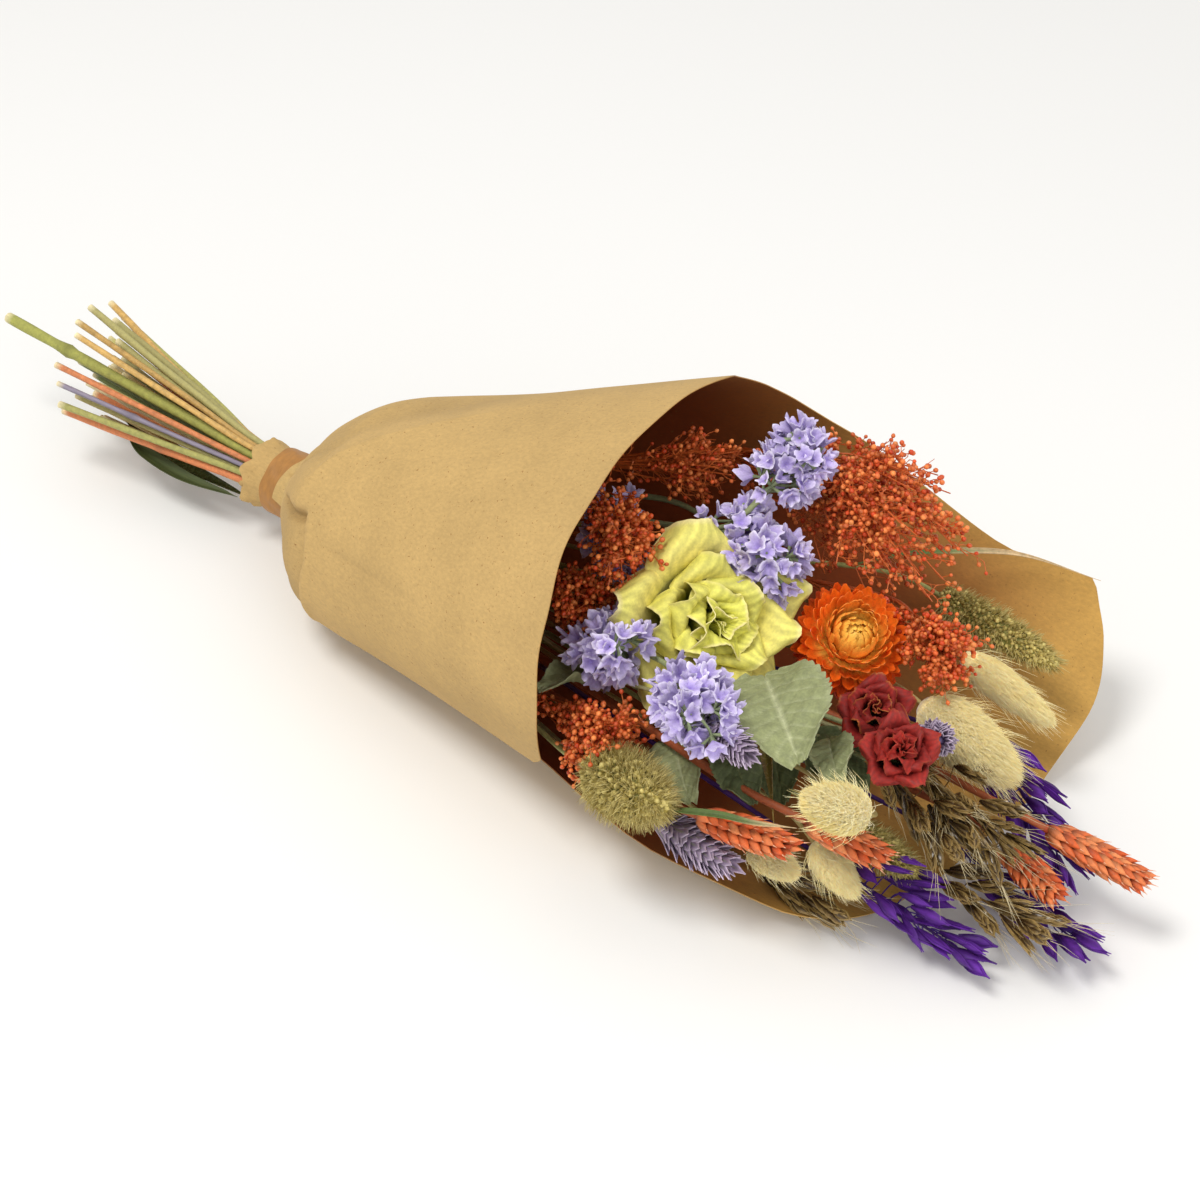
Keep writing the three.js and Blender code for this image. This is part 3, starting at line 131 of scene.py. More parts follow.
# Heads of these kinds have their stems in nodes of their own.
OWN_STEM = ("rose", "strawflower", "red_rose", "bunny_tail", "canary_grass")

tape_low, tape_high = (np.array(corner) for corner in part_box("neck_tape"))
ORIGIN = (tape_low + tape_high) / 2 - np.array([(TAPE["start"] + TAPE["end"]) / 2, 0, TIE_HEIGHT]) * MM

# ---------------------------------------------------------------- small maths


def rng(name):
    return np.random.default_rng(zlib.crc32(name.encode()))


def unit(v):
    return v / (np.linalg.norm(v, axis=-1, keepdims=True) + 1e-12)


def smooth(low, high, x):
    t = np.clip((np.asarray(x, float) - low) / (high - low), 0, 1)
    return t * t * (3 - 2 * t)


def between(x, rise, fade):
    """1 between the two ranges, and smooth from and to 0 in them."""
    return smooth(*rise, x) * (1 - smooth(*fade, x))


def bump_at(value, middle, width):
    return np.exp(-((value - middle) / width) ** 2)


def mix(a, b, t):
    return a + (b - a) * t


def half_wave(t):
    return np.sin(np.pi * t)


def colour(code):
    """A linear colour from a display colour such as "c9a267"; an array stays as it is."""
    if not isinstance(code, str):
        return np.asarray(code, float)
    value = np.array([int(code[k:k + 2], 16) for k in (0, 2, 4)]) / 255
    return np.where(value <= 0.04045, value / 12.92, ((value + 0.055) / 1.055) ** 2.4)


def blend(a, b, t):
    t = np.asarray(t, float)[..., None]
    return colour(a) * (1 - t) + colour(b) * t


def basis(z, roll=0.0):
    """Axes (n, 3, 3), in columns, whose last column is z, made as the source makes them."""
    z = unit(np.atleast_2d(np.asarray(z, float)))
    up = np.where(np.abs(z[:, 2:3]) < 0.95, np.array([[0.0, 0, 1]]), np.array([[1.0, 0, 0]]))
    x = unit(np.cross(up, z))
    y = np.cross(z, x)
    roll = np.broadcast_to(np.asarray(roll, float), (len(z),))[:, None]
    turned_x = x * np.cos(roll) + y * np.sin(roll)
    return np.stack([turned_x, np.cross(z, turned_x), z], axis=2)


class Axis:
    """Axes with +Z from base to tip and their origin at the base."""

    def __init__(self, base, tip, roll=0.0):
        self.origin = np.array(base, float)
        self.length = float(np.linalg.norm(np.array(tip, float) - self.origin))
        self.axes = basis(np.array(tip, float) - self.origin, roll)[0]

    def turn(self, local):
        return np.asarray(local, float) @ self.axes.T

    def at(self, local):
        return self.turn(local) + self.origin

    def round(self, radius, angle, height):
        radius, angle, height = np.broadcast_arrays(radius, angle, height)
        return self.at(np.stack([radius * np.cos(angle), radius * np.sin(angle), height], -1))


def eased(table, x):
    """Reads a table at x along a smooth curve that doesn't overshoot its rows."""
    table = np.array(table, float)
    xs, ys = table[:, 0], table[:, 1]
    slopes = np.diff(ys) / np.diff(xs)
    inner = np.where(slopes[1:] * slopes[:-1] > 0,
                     2 * slopes[1:] * slopes[:-1] / (slopes[1:] + slopes[:-1] + 1e-12), 0)
    tangents = np.concatenate([[slopes[0]], inner, [slopes[-1]]])
    x = np.clip(x, xs[0], xs[-1])
    k = np.clip(np.searchsorted(xs, x, side="right") - 1, 0, len(xs) - 2)
    width = xs[k + 1] - xs[k]
    t = (x - xs[k]) / width
    return ((2 * t**3 - 3 * t**2 + 1) * ys[k] + (t**3 - 2 * t**2 + t) * width * tangents[k]
            + (3 * t**2 - 2 * t**3) * ys[k + 1] + (t**3 - t**2) * width * tangents[k + 1])


def curve_through(points, count):
    """Evenly spaced points on a smooth curve through the given ones."""
    points = np.asarray(points, float)
    steps = np.linalg.norm(np.diff(points, axis=0), axis=1)
    at = np.concatenate([[0], np.cumsum(steps)])
    s = np.linspace(0, at[-1], count)
    return np.stack([eased(np.stack([at, points[:, k]], 1), s) for k in range(3)], 1)


def grid(rows, columns):
    """u from 0 to 1 along and v from -1 to 1 across, as two arrays."""
    return np.meshgrid(np.linspace(0, 1, rows), np.linspace(-1, 1, columns), indexing="ij")


# ---------------------------------------------------------------- meshes


def bands(index, flip=False):
    """Quads between the rows of a table of point numbers whose rows are closed rings."""
    after = np.roll(index, -1, axis=-1)
    quads = np.stack([index[..., :-1, :], after[..., :-1, :], after[..., 1:, :], index[..., 1:, :]], -1)
    quads = quads.reshape(-1, 4)
    return quads[:, ::-1] if flip else quads


def sheet(middle, thickness):
    """Points and faces of a closed thin sheet round a grid of middle points."""
    rows, columns = middle.shape[:2]
    normal = unit(np.cross(np.gradient(middle, axis=0), np.gradient(middle, axis=1)))
    offset = normal * thickness / 2
    points = np.concatenate([(middle + offset).reshape(-1, 3), (middle - offset).reshape(-1, 3)])
    back = rows * columns
    index = np.arange(back).reshape(rows, columns)
    a, b = index[:-1, :-1].ravel(), index[1:, :-1].ravel()
    c, d = index[1:, 1:].ravel(), index[:-1, 1:].ravel()
    loop = np.concatenate([index[:, 0], index[-1, 1:], index[-2::-1, -1], index[0, -2::-1]])
    p, q = loop[:-1], loop[1:]
    return points, [
        np.stack([a, b, c, d], 1),
        np.stack([d, c, b, a], 1) + back,
        np.stack([q, p, p + back, q + back], 1),
    ]


def strands(paths, radius, sides):
    """Points and faces of many thin tubes at once: paths (n, m, 3) and radius (n, m)."""
    n, m = paths.shape[:2]
    radius = np.broadcast_to(np.asarray(radius, float), (n, m))
    tangent = unit(np.gradient(paths, axis=1))
    helper = np.where(np.abs(tangent[:, :1, 2:3]) < 0.9, [[[0, 0, 1.0]]], [[[1.0, 0, 0]]])
    side = unit(np.cross(np.broadcast_to(helper, tangent.shape), tangent))
    other = np.cross(tangent, side)
    angle = np.arange(sides) / sides * 2 * np.pi
    ring = np.cos(angle)[:, None] * side[:, :, None] + np.sin(angle)[:, None] * other[:, :, None]
    points = paths[:, :, None] + radius[:, :, None, None] * ring
    index = np.arange(n * m * sides).reshape(n, m, sides)
    return points.reshape(-1, 3), [bands(index), index[:, 0, ::-1], index[:, -1]]


def copies(base, origins, axes, scale):
    """Instances of a base shape (points, faces) at origins (n, 3) with axes (n, 3, 3)."""
    points, faces = base
    scale = np.asarray(scale, float)
    scale = scale.reshape(-1, 1, 1) if scale.ndim < 2 else scale[:, None, :]
    placed = np.einsum("nij,npj->npi", axes, points[None] * scale) + np.asarray(origins)[:, None]
    shift = (np.arange(len(origins)) * len(points))[:, None, None]
    return placed.reshape(-1, 3), [(group[None] + shift).reshape(-1, group.shape[1]) for group in faces]


def lathe(profile, sides, ridges=0, depth=0.0):
    """A closed body turned round Z from [radius, z] pairs between two poles, with ridges along it."""
    profile = np.asarray(profile, float)
    angle = np.arange(sides) / sides * 2 * np.pi
    wave = 1 - depth * (0.5 - 0.5 * np.cos(ridges * angle))
    rings = [np.stack([r * wave * np.cos(angle), r * wave * np.sin(angle), np.full(sides, z)], 1)
             for r, z in profile[1:-1]]
    points = np.concatenate([[[0, 0, profile[0][1]]], *rings, [[0, 0, profile[-1][1]]]])
    index = 1 + np.arange(len(rings) * sides).reshape(len(rings), sides)
    after = np.roll(index, -1, axis=1)
    first = np.stack([after[0], index[0], np.zeros(sides, int)], 1)
    last = np.stack([index[-1], after[-1], np.full(sides, len(points) - 1)], 1)
    return points, [bands(index), first, last]


class Shape:
    """Points, faces and a colour for each point, gathered for one mesh."""

    def __init__(self):
        self.points, self.faces, self.colours, self.count = [], [], [], 0

    def add(self, points, faces, tints):
        points = np.asarray(points, float).reshape(-1, 3)
        tints = np.atleast_2d(colour(tints)).reshape(-1, 3)
        self.points.append(points)
        self.colours.append(np.broadcast_to(tints, (len(points), 3)))
        self.faces += [np.asarray(group) + self.count for group in faces if len(group)]
        self.count += len(points)

    def add_sheet(self, middle, thickness, tints):
        """A thin sheet with the colours of its middle grid on both faces."""
        tints = np.broadcast_to(colour(tints), middle.shape)
        self.add(*sheet(middle, thickness), np.stack([tints, tints]))

    def add_strands(self, paths, radius, tints, sides=3):
        """Thin tubes, with one colour for each or for all."""
        paths = np.asarray(paths, float)
        tints = np.broadcast_to(colour(tints), (len(paths), 3))
        self.add(*strands(paths, radius, sides), np.repeat(tints, paths.shape[1] * sides, axis=0))

    def add_tube(self, path, radius, tints, sides):
        """One tube, with one colour for each point of its path or for all."""
        path = np.asarray(path, float)
        tints = np.broadcast_to(colour(tints), path.shape)
        radius = np.broadcast_to(radius, (len(path),))
        self.add(*strands(path[None], radius[None], sides), np.repeat(tints, sides, axis=0))

    def add_copies(self, base, origins, axes, tints, scale=1.0, shade=1.0):
        """Copies of a base shape, with one colour for each or for all, shaded point by point."""
        tints = np.broadcast_to(colour(tints), (len(origins), 3))
        shade = np.broadcast_to(shade, len(base[0]))
        self.add(*copies(base, origins, axes, scale), tints[:, None] * shade[:, None])


def piece(name, shape, slot, sharp, *nodes):
    """One visible piece with the surface of its slot, riding on root in place of CAD nodes."""
    mesh = bpy.data.meshes.new(name)
    points = np.concatenate(shape.points)
    faces = [tuple(face) for group in shape.faces for face in group.tolist()]
    mesh.from_pydata((points * MM + ORIGIN).tolist(), [], faces)
    mesh.update()
    tint = mesh.color_attributes.new("tint", "FLOAT_COLOR", "POINT")
    rgba = np.ones((len(points), 4))
    rgba[:, :3] = np.concatenate(shape.colours)
    tint.data.foreach_set("color", rgba.ravel())
    mesh.polygons.foreach_set("use_smooth", np.ones(len(mesh.polygons), bool))
    mesh.set_sharp_from_angle(angle=math.radians(sharp))
    mesh.materials.append(SURFACES[slot])
    obj = bpy.data.objects.new(name, mesh)
    bpy.context.scene.collection.objects.link(obj)
    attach(obj, "root")
    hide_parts(*nodes)


# ---------------------------------------------------------------- materials

NOISE_RANGE = (0.3, 0.7)  # where most of a noise texture's values lie


class Surface:
    """Builds one procedural material whose base colour starts from the mesh's own tint."""

    def __init__(self, name):
        self.material = bpy.data.materials.new(name)
        self.material.use_nodes = True
        self.tree = self.material.node_tree
        self.shader = self.tree.nodes["Principled BSDF"]
        self.place = self.node("ShaderNodeTexCoord").outputs["Object"]
        self.colour = self.node("ShaderNodeAttribute", attribute_name="tint").outputs["Color"]
        self.normal = None

    def node(self, kind, inputs=None, **settings):
        """A new node with its settings, and with its inputs linked or set to values."""
        made = self.tree.nodes.new(kind)
        for key, value in settings.items():
            setattr(made, key, value)
        for key, value in (inputs or {}).items():
            if isinstance(value, bpy.types.NodeSocket):
                self.tree.links.new(value, made.inputs[key])
            else:
                made.inputs[key].default_value = value
        return made

    def noise(self, scale, detail=4.0, rough=0.6, stretch=(1, 1, 1)):
        place = self.node("ShaderNodeMapping", {"Scale": stretch, "Vector": self.place})
        return self.node("ShaderNodeTexNoise", {
            "Scale": scale, "Detail": detail, "Roughness": rough, "Vector": place.outputs["Vector"],
        }).outputs["Fac"]

    def ranged(self, value, low, high, to_low=0.0, to_high=1.0):
        return self.node("ShaderNodeMapRange", {
            "Value": value, "From Min": low, "From Max": high, "To Min": to_low, "To Max": to_high,
        }).outputs["Result"]

    def shade(self, value, dark, light):
        """Darkens and lightens the colour by a noise value."""
        factor = self.ranged(value, *NOISE_RANGE, dark, light)
        self.colour = self.node("ShaderNodeVectorMath", {0: self.colour, "Scale": factor},
                                operation="SCALE").outputs["Vector"]

    def fleck(self, value, low, high, tint):
        """Lays a colour over the surface where a noise value is between low and high."""
        inputs = {"Factor": self.ranged(value, low, high), "A": self.colour, "B": (*colour(tint), 1)}
        self.colour = self.node("ShaderNodeMix", inputs, data_type="RGBA").outputs["Result"]

    def bump(self, value, distance):
        inputs = {"Distance": distance * MM, "Height": value}
        if self.normal:
            inputs["Normal"] = self.normal
        self.normal = self.node("ShaderNodeBump", inputs).outputs["Normal"]

    def done(self, rough_noise, roughness, **sockets):
        rough = self.ranged(rough_noise, *NOISE_RANGE, *roughness)
        for key, value in (("Base Color", self.colour), ("Normal", self.normal), ("Roughness", rough)):
            self.tree.links.new(value, self.shader.inputs[key])
        for key, value in sockets.items():
            self.shader.inputs[key.replace("_", " ")].default_value = value
        return self.material


def plant_surface(name, roughness, scale, shades, depth, stretch=(1, 1, 1), **sockets):
    """A dried plant's surface: mottled colour, a fine relief and uneven gloss."""
    made = Surface(name)
    fine = made.noise(scale * 3, stretch=stretch)
    coarse = made.noise(scale, stretch=stretch)
    made.shade(coarse, *shades)
    made.shade(fine, 0.88, 1.1)
    made.bump(fine, depth)
    return made.done(coarse, roughness, **sockets)


def kraft_surface(name):
    made = Surface(name)
    fibre = made.noise(900, detail=6, rough=0.7, stretch=(0.5, 1, 1))
    clouds = made.noise(35, detail=3)
    grain = made.noise(2600, detail=2, rough=0.8)
    specks = made.noise(700, detail=2, rough=0.75)
    made.shade(clouds, 0.93, 1.06)
    made.shade(fibre, 0.86, 1.12)
    made.fleck(specks, 0.66, 0.74, "8d6436")
    made.bump(fibre, 0.05)
    made.bump(grain, 0.03)
    return made.done(fibre, (0.72, 0.9), Specular_IOR_Level=0.3)


def tape_surface(name):
    made = Surface(name)
    fibre = made.noise(700, detail=5, stretch=(1, 0.35, 0.35))
    made.shade(fibre, 0.85, 1.12)
    made.shade(made.noise(60), 0.9, 1.1)
    made.bump(fibre, 0.06)
    return made.done(fibre, (0.45, 0.62), Specular_IOR_Level=0.45)


SURFACES = {"kraft_paper": kraft_surface("kraft_paper"), "neck_tape": tape_surface("neck_tape")}
# Name, roughness, noise scale, darkest and lightest shade, relief depth and the noise's stretch.
for row in (
        ("rose_petals", (0.6, 0.8), 260, (0.93, 1.1), 0.1),
        ("strawflower_bracts", (0.3, 0.5), 500, (0.85, 1.15), 0.05),
        ("red_rose_petals", (0.55, 0.8), 500, (0.7, 1.25), 0.15),
        ("green_leaf", (0.65, 0.9), 420, (0.8, 1.15), 0.12),
        ("straw_stem", (0.45, 0.7), 600, (0.8, 1.15), 0.08, (0.08, 1, 1)),
        ("painted_wheat", (0.5, 0.75), 700, (0.8, 1.15), 0.12),
        ("foxtail_seed", (0.5, 0.75), 500, (0.8, 1.2), 0.05),
        ("canary_grass_scales", (0.5, 0.75), 500, (0.85, 1.15), 0.06),
        ("brown_brome", (0.16, 0.34), 500, (0.85, 1.15), 0.03),
        ("lilac_statice", (0.6, 0.85), 500, (0.88, 1.12), 0.08),
        ("orange_broom", (0.35, 0.6), 400, (0.75, 1.25), 0.06)):
    SURFACES[row[0]] = plant_surface(*row)
SURFACES["bunny_tail_hair"] = plant_surface("bunny_tail_hair", (0.7, 0.9), 300, (0.98, 1.08), 0.0,
                                            Sheen_Weight=0.8, Sheen_Roughness=0.5)
SURFACES["purple_oat"] = plant_surface("purple_oat", (0.45, 0.7), 600, (0.75, 1.25), 0.08, (0.3, 1, 1),
                                       Specular_IOR_Level=0.3)

# ---------------------------------------------------------------- paper

PAPER = 0.4  # the sheet's thickness, with its outer face on the source's outer face
# Folds that run from the tape and fade out: angle, width, depth and drift with x.
TAPE_FOLDS = (
    (80, 7, 2.4, 0.05), (146, 4, 1.6, 0.2), (171, 6, 1.2, -0.1), (196, 4, 2.4, 0.15),
    (222, 6, 1.6, -0.2), (247, 4, 2.6, 0.1), (276, 6, 1.8, 0.2), (303, 4, 2.4, -0.15),
    (334, 6, 1.0, 0.1), (396, 6, 1.0, 0), (430, 5, 1.4, 0.1),
)
# Fine creases on the cone: depth, angle, drift with x, width, and where they rise and fade.
CREASES = ((0.7, 112, -0.1, 2.6, (76, 90), (110, 170)), (0.6, 148, 0.1, 2.4, (70, 85), (110, 190)))


def section(x):
    """The paper's half width, half height, centre height and centre y at x."""
    join = CONE["start"] + 22
    neck = [eased([(row[0], row[k]) for row in NECK_SECTIONS] + [(join, NECK_SECTIONS[-1][k] + growth)], x)
            for k, growth in ((1, 5.6), (2, 4.7), (3, 4.4), (4, 0.3))]
    start_width, start_y = NECK_SECTIONS[-1][1], NECK_SECTIONS[-1][4]
    width = start_width + (x - CONE["start"]) * CONE["flare"]
    height = width * CONE["squash"]
    cone = [width, height, height * CONE["lie"], start_y + (x - CONE["start"]) * CONE["drift"]]
    t = smooth(CONE["start"] - 2, join, x)
    return [mix(a, b, t) for a, b in zip(neck, cone)]


def zigzag(degrees, pitch):
    """A triangle wave from 0 to 1 with the given pitch."""
    return np.abs((degrees / pitch) % 1 - 0.5) * 2


def paper_relief(x, degrees):
    """How far the sheet bends inwards: folds at the shoulder and long soft dents further on."""
    angle = np.radians(degrees)
    around = np.where(degrees > 360, degrees - 360, degrees)
    relief = np.zeros_like(x)
    for at, width, depth, drift in TAPE_FOLDS:
        off = degrees - at - drift * (x - 15) - 2.5 * np.sin(x / 9 + at)
        relief += depth * np.exp(-np.abs(off / width) ** 1.4)
    relief *= between(x, (13, 18), (34, 70))
    # A ridge climbs from the near side of the shoulder to the top; above it the sheet is drawn flat.
    ridge_at = np.interp(x, *np.transpose(RIDGE))
    relief -= 1.9 * np.exp(-np.abs(around - ridge_at) / 8) * between(x, (38, 60), (85, 165))
    relief += 1.9 * bump_at(around, ridge_at + 24, 15) * between(x, (30, 60), (85, 150))
    # The outer layer's fold crosses the near side, over a layer that is pinched below it.
    fold_at = np.interp(around, *np.transpose(SHOULDER_FOLD))
    under = 2.0 * (1 - smooth(fold_at - 0.8, fold_at + 0.8, x)) * smooth(20, 45, x)
    lip = 0.5 * bump_at(x, fold_at + 1.5, 2.5)
    relief += (under - lip) * between(around, (50, 62), (120, 125))
    relief += 3.6 * bump_at(around, 120.5, 3.2) * between(x, (20, 50), (64, 70))
    dents = (np.sin(2 * angle + x / 60 + 1) * np.sin(x / 52 + angle)
             + 0.5 * np.sin(5 * angle - x / 33 + 0.6) + 0.3 * np.sin(9 * angle + x / 21))
    relief += 0.6 * smooth(60, 100, x) * (1 - 0.5 * smooth(150, 260, x)) * (1 + dents)
    for depth, at, drift, width, rise, fade in CREASES:
        off = degrees - at - drift * (x - 60)
        relief += depth * np.exp(-np.abs(off / width) ** 1.2) * between(x, rise, fade)
    return relief


def wrap_points(x, degrees, depth):
    """Points of the paper at x and an angle, at a depth under its outer face."""
    half_width, half_height, centre_z, centre_y = section(x)
    angle = np.radians(degrees)
    ruffled = 1 - smooth(-7, 2, x)
    wave = 1 + ruffled * (0.09 * zigzag(degrees, 66) - 0.02 + 0.03 * np.sin(11 * angle + 1))
    half_width, half_height = half_width * wave, half_height * wave
    normal = unit(np.stack([-np.sin(angle) / half_width, -np.cos(angle) / half_height], -1))
    inwards = depth + paper_relief(x, degrees)
    # The outer edge stands off the layer below it a little.
    inwards = inwards - 0.7 * (1 - smooth(SHEET_START, SHEET_START + 7, degrees)) * smooth(60, 90, x)
    y = centre_y - half_width * np.sin(angle) - normal[..., 0] * inwards
    z = centre_z - half_height * np.cos(angle) - normal[..., 1] * inwards
    z = np.where(degrees > 360, z * (1 - LIP["sink"] * smooth(LIP["from"], LIP["to"], x)), z)
    return np.stack([x, y, np.maximum(z, np.minimum(np.maximum(depth, 0), 0.6))], -1)


def paper_wrap():
    """The rolled sheet, and a pointed corner of it that laps over the tape."""
    shape = Shape()
    # Columns crowd on the near side and rows at the neck and shoulder, where the sheet is folded.
    degrees = np.concatenate([np.linspace(SHEET_START, 190, 170), np.linspace(192, SHEET_END, 140)])
    rim = eased(RIM, degrees) + 0.5 * np.sin(np.radians(degrees) * 13) * smooth(70, 110, degrees)
    start = -8.6 + 3.0 * zigzag(degrees, 48) + 0.6 * np.sin(np.radians(degrees) * 11)
    shoulder = 96.0
    neck_rows = np.linspace(0, 1, 92, endpoint=False)[:, None]
    cone_rows = np.linspace(0, 1, 58)[:, None] ** 1.1
    x = np.concatenate([mix(start, shoulder, neck_rows), mix(shoulder, rim, cone_rows)])
    degrees = np.broadcast_to(degrees, x.shape)
    tuck = mix(TUCK["atNeck"], TUCK["atCone"], smooth(0, CONE["start"], x))
    depth = tuck * smooth(TUCK["start"], TUCK["end"], degrees)
    middle = (wrap_points(x, degrees, depth) + wrap_points(x, degrees, depth + PAPER)) / 2
    # The outer face is painted darker where the sheet bends inwards: painted shade in its folds and dents.
    outside = colour("c1a067") * (1 - 0.22 * np.clip(paper_relief(x, degrees) / 4, 0, 1))[..., None]
    # Deep inside the roll, and low down under the flowers, the inner face is painted a red-brown shade:
    # painted shadow, warmed by light thrown back from the flowers.
    low_side = between(degrees, (262, 300), (412, 440))
    shaded = between(x, (0, 12), (mix(150, 225, low_side), mix(250, 322, low_side)))
    inside = blend("c29850", "8b3918", shaded * 0.93)
    shape.add(*sheet(middle, PAPER), np.stack([outside, inside]))
    # The corner.
    degrees = np.linspace(93, 186, 56)
    start = np.interp(degrees, [93, 100, 128, 186], [15.5, 10.6, 11.6, 15.5])
    share = np.linspace(0, 1, 26)[:, None]
    x = mix(start, 29, share)
    degrees = np.broadcast_to(degrees, x.shape)
    corner = wrap_points(x, degrees, mix(-1.55, 0.5, share ** 1.5) + 0 * x)
    shape.add_sheet(corner, PAPER, "c5a66d")
    piece("kraft_wrap", shape, "kraft_paper", 42, "paper_wrap")


def neck_tape():
    """A band of paper tape, slightly uneven, with its end lapped over its start."""
    degrees = np.linspace(20, 392, 170)
    along = np.linspace(0, 1, 14)[:, None]
    angle = np.radians(degrees)[None, :]
    wobble = 0.4 * np.sin(3 * angle) + 0.2 * np.sin(8 * angle + 2)
    x = mix(TAPE["start"] + wobble, TAPE["end"] + 0.5 * np.cos(4 * angle), along)
    lap = 0.3 * smooth(375, 383, degrees)[None, :]
    crease = 0.2 * np.sin(11 * angle + 5 * along) * half_wave(along)
    radius = 13.75 + lap + crease
    shape = Shape()
    shape.add_sheet(np.stack([x, -radius * np.sin(angle), TIE_HEIGHT - radius * np.cos(angle)], -1), 0.3,
                    "a8763a")
    piece("tape_band", shape, "neck_tape", 60, "neck_tape")


# ---------------------------------------------------------------- stems


def node_of(name):
    """The CAD node that holds a head's stem."""
    if name.startswith(OWN_STEM):
        kind, _, number = name.rpartition("_")
        return f"{kind}_stem_{number}" if number.isdigit() else f"{name}_stem"
    return name


def triangles(node):
    mesh = NODES[node].data
    points = np.empty(len(mesh.vertices) * 3)
    mesh.vertices.foreach_get("co", points)
    points = (points.reshape(-1, 3) - ORIGIN) / MM
    mesh.calc_loop_triangles()
    index = np.empty(len(mesh.loop_triangles) * 3, int)
    mesh.loop_triangles.foreach_get("vertices", index)
    return points[index].reshape(-1, 3, 3)


def crossing(corners, x, guess):
    """The middle of the stem's loop in the plane at x, near a guess."""
    middles = []
    for triangle in corners[(corners[:, :, 0].min(1) < x) & (corners[:, :, 0].max(1) > x)]:
        ends = []
        for a, b in ((0, 1), (1, 2), (2, 0)):
            p, q = triangle[a], triangle[b]
            if (p[0] - x) * (q[0] - x) < 0:
                ends.append(p + (q - p) * (x - p[0]) / (q[0] - p[0]))
        if len(ends) == 2:
            middles.append((ends[0] + ends[1]) / 2)
    middles = np.array(middles)
    closest = middles[np.linalg.norm(middles - guess, axis=1).argmin()]
    widest_stem = 4.2
    return middles[np.linalg.norm(middles - closest, axis=1) < widest_stem].mean(0)


def stem_route(name):
    """The stem's way through the bouquet, read from its solid in the frame."""
    base, tip, _, _, cut = HEADS[name]
    base, tip = np.array(base, float), np.array(tip, float)
    before = base - unit(tip - base) * STEM_LEAD
    # The stem of a head that leans back comes up to it without going past it.
    before[0] = min(before[0], base[0] - 1)
    corners = triangles(node_of(name))
    ends = corners.reshape(-1, 3)
    ends = ends[ends[:, 0] < -cut + 2.2]
    points = [np.unique(ends.round(3), axis=0).mean(0)]
    first, final = STATION_MARGIN["afterCut"] - cut, before[0] - STATION_MARGIN["beforeLead"]
    for x in STEM_STATIONS:
        if first <= x <= final:
            last = points[-1]
            guess = last + (before - last) * (x - last[0]) / (before[0] - last[0])
            if x <= NECK_END:
                guess = mix(np.array([0, 0, TIE_HEIGHT]), last, max(x / last[0], 0))
            points.append(crossing(corners, x + 0.05, guess))
    return np.array(points + [before, base])


ROUTES = {name: stem_route(name) for name in HEADS}


def stem_curve(name):
    """The route as a smooth path with a point every 4 mm, rounded where it turns towards the head."""
    route = ROUTES[name]
    length = np.linalg.norm(np.diff(route, axis=0), axis=1).sum()
    path = curve_through(route, int(length / 4))
    for _ in range(4):
        path[1:-1] = (path[:-2] + 2 * path[1:-1] + path[2:]) / 4
    return path


def stem_at(name, x):
    path = stem_curve(name)
    return path[np.abs(path[:, 0] - x).argmin()]


def add_stem(shape, name, tint, end_tint, sides=8, joints=(), swell=1.5):
    """A round stem with its swollen joints and its pale cut end."""
    path = stem_curve(name)
    random = rng("stem" + name)
    s = np.linspace(0, 1, len(path))
    radii = HEADS[name][3] * mix(1.2, 0.8, s) * (1 + 0.05 * np.sin(s * 60 + random.uniform(0, 6)))
    tints = blend(tint, end_tint, smooth(0.3, 0.75, s))
    for joint in joints:
        near = bump_at(path[:, 0], joint, 2.5)
        radii = radii * (1 + (swell - 1) * near)
        tints = blend(tints, colour(tint) * 0.45, near * 0.7)
    tints = tints * random.uniform(0.88, 1.12)
    tints[0] = colour("e6d9ae")
    shape.add_tube(path, radii, tints, sides)


class Head(Axis):
    """A head in the making: its own axes, its radius (wide), random numbers and shape."""

    def __init__(self, name, seed=None):
        base, tip, self.wide, _, _ = HEADS[name]
        super().__init__(base, tip)
        self.name, self.shape, self.random = name, Shape(), rng(seed or name)

    def core(self, profile, sides, tint):
        """A plain turned body inside the head."""
        self.shape.add_copies(lathe(profile, sides), [self.origin], self.axes[None], tint)

    def spine(self, reach, radii, tint, sides, count=8, sway=0.0):
        """A thin tube up the middle, to a share of the head's length."""
        sideways = sway * np.sin(np.linspace(0, 20, count))
        heights = np.linspace(-1, reach * self.length, count)
        path = self.at(np.stack([0 * sideways, sideways, heights], 1))
        self.shape.add_tube(path, np.linspace(*radii, count), tint, sides)

    def shades(self, dark, light, count, power=1.0):
        """Random colours between two, nearer to the first as the power grows."""
        return blend(dark, light, self.random.uniform(0, 1, count) ** power)


# ---------------------------------------------------------------- leaves


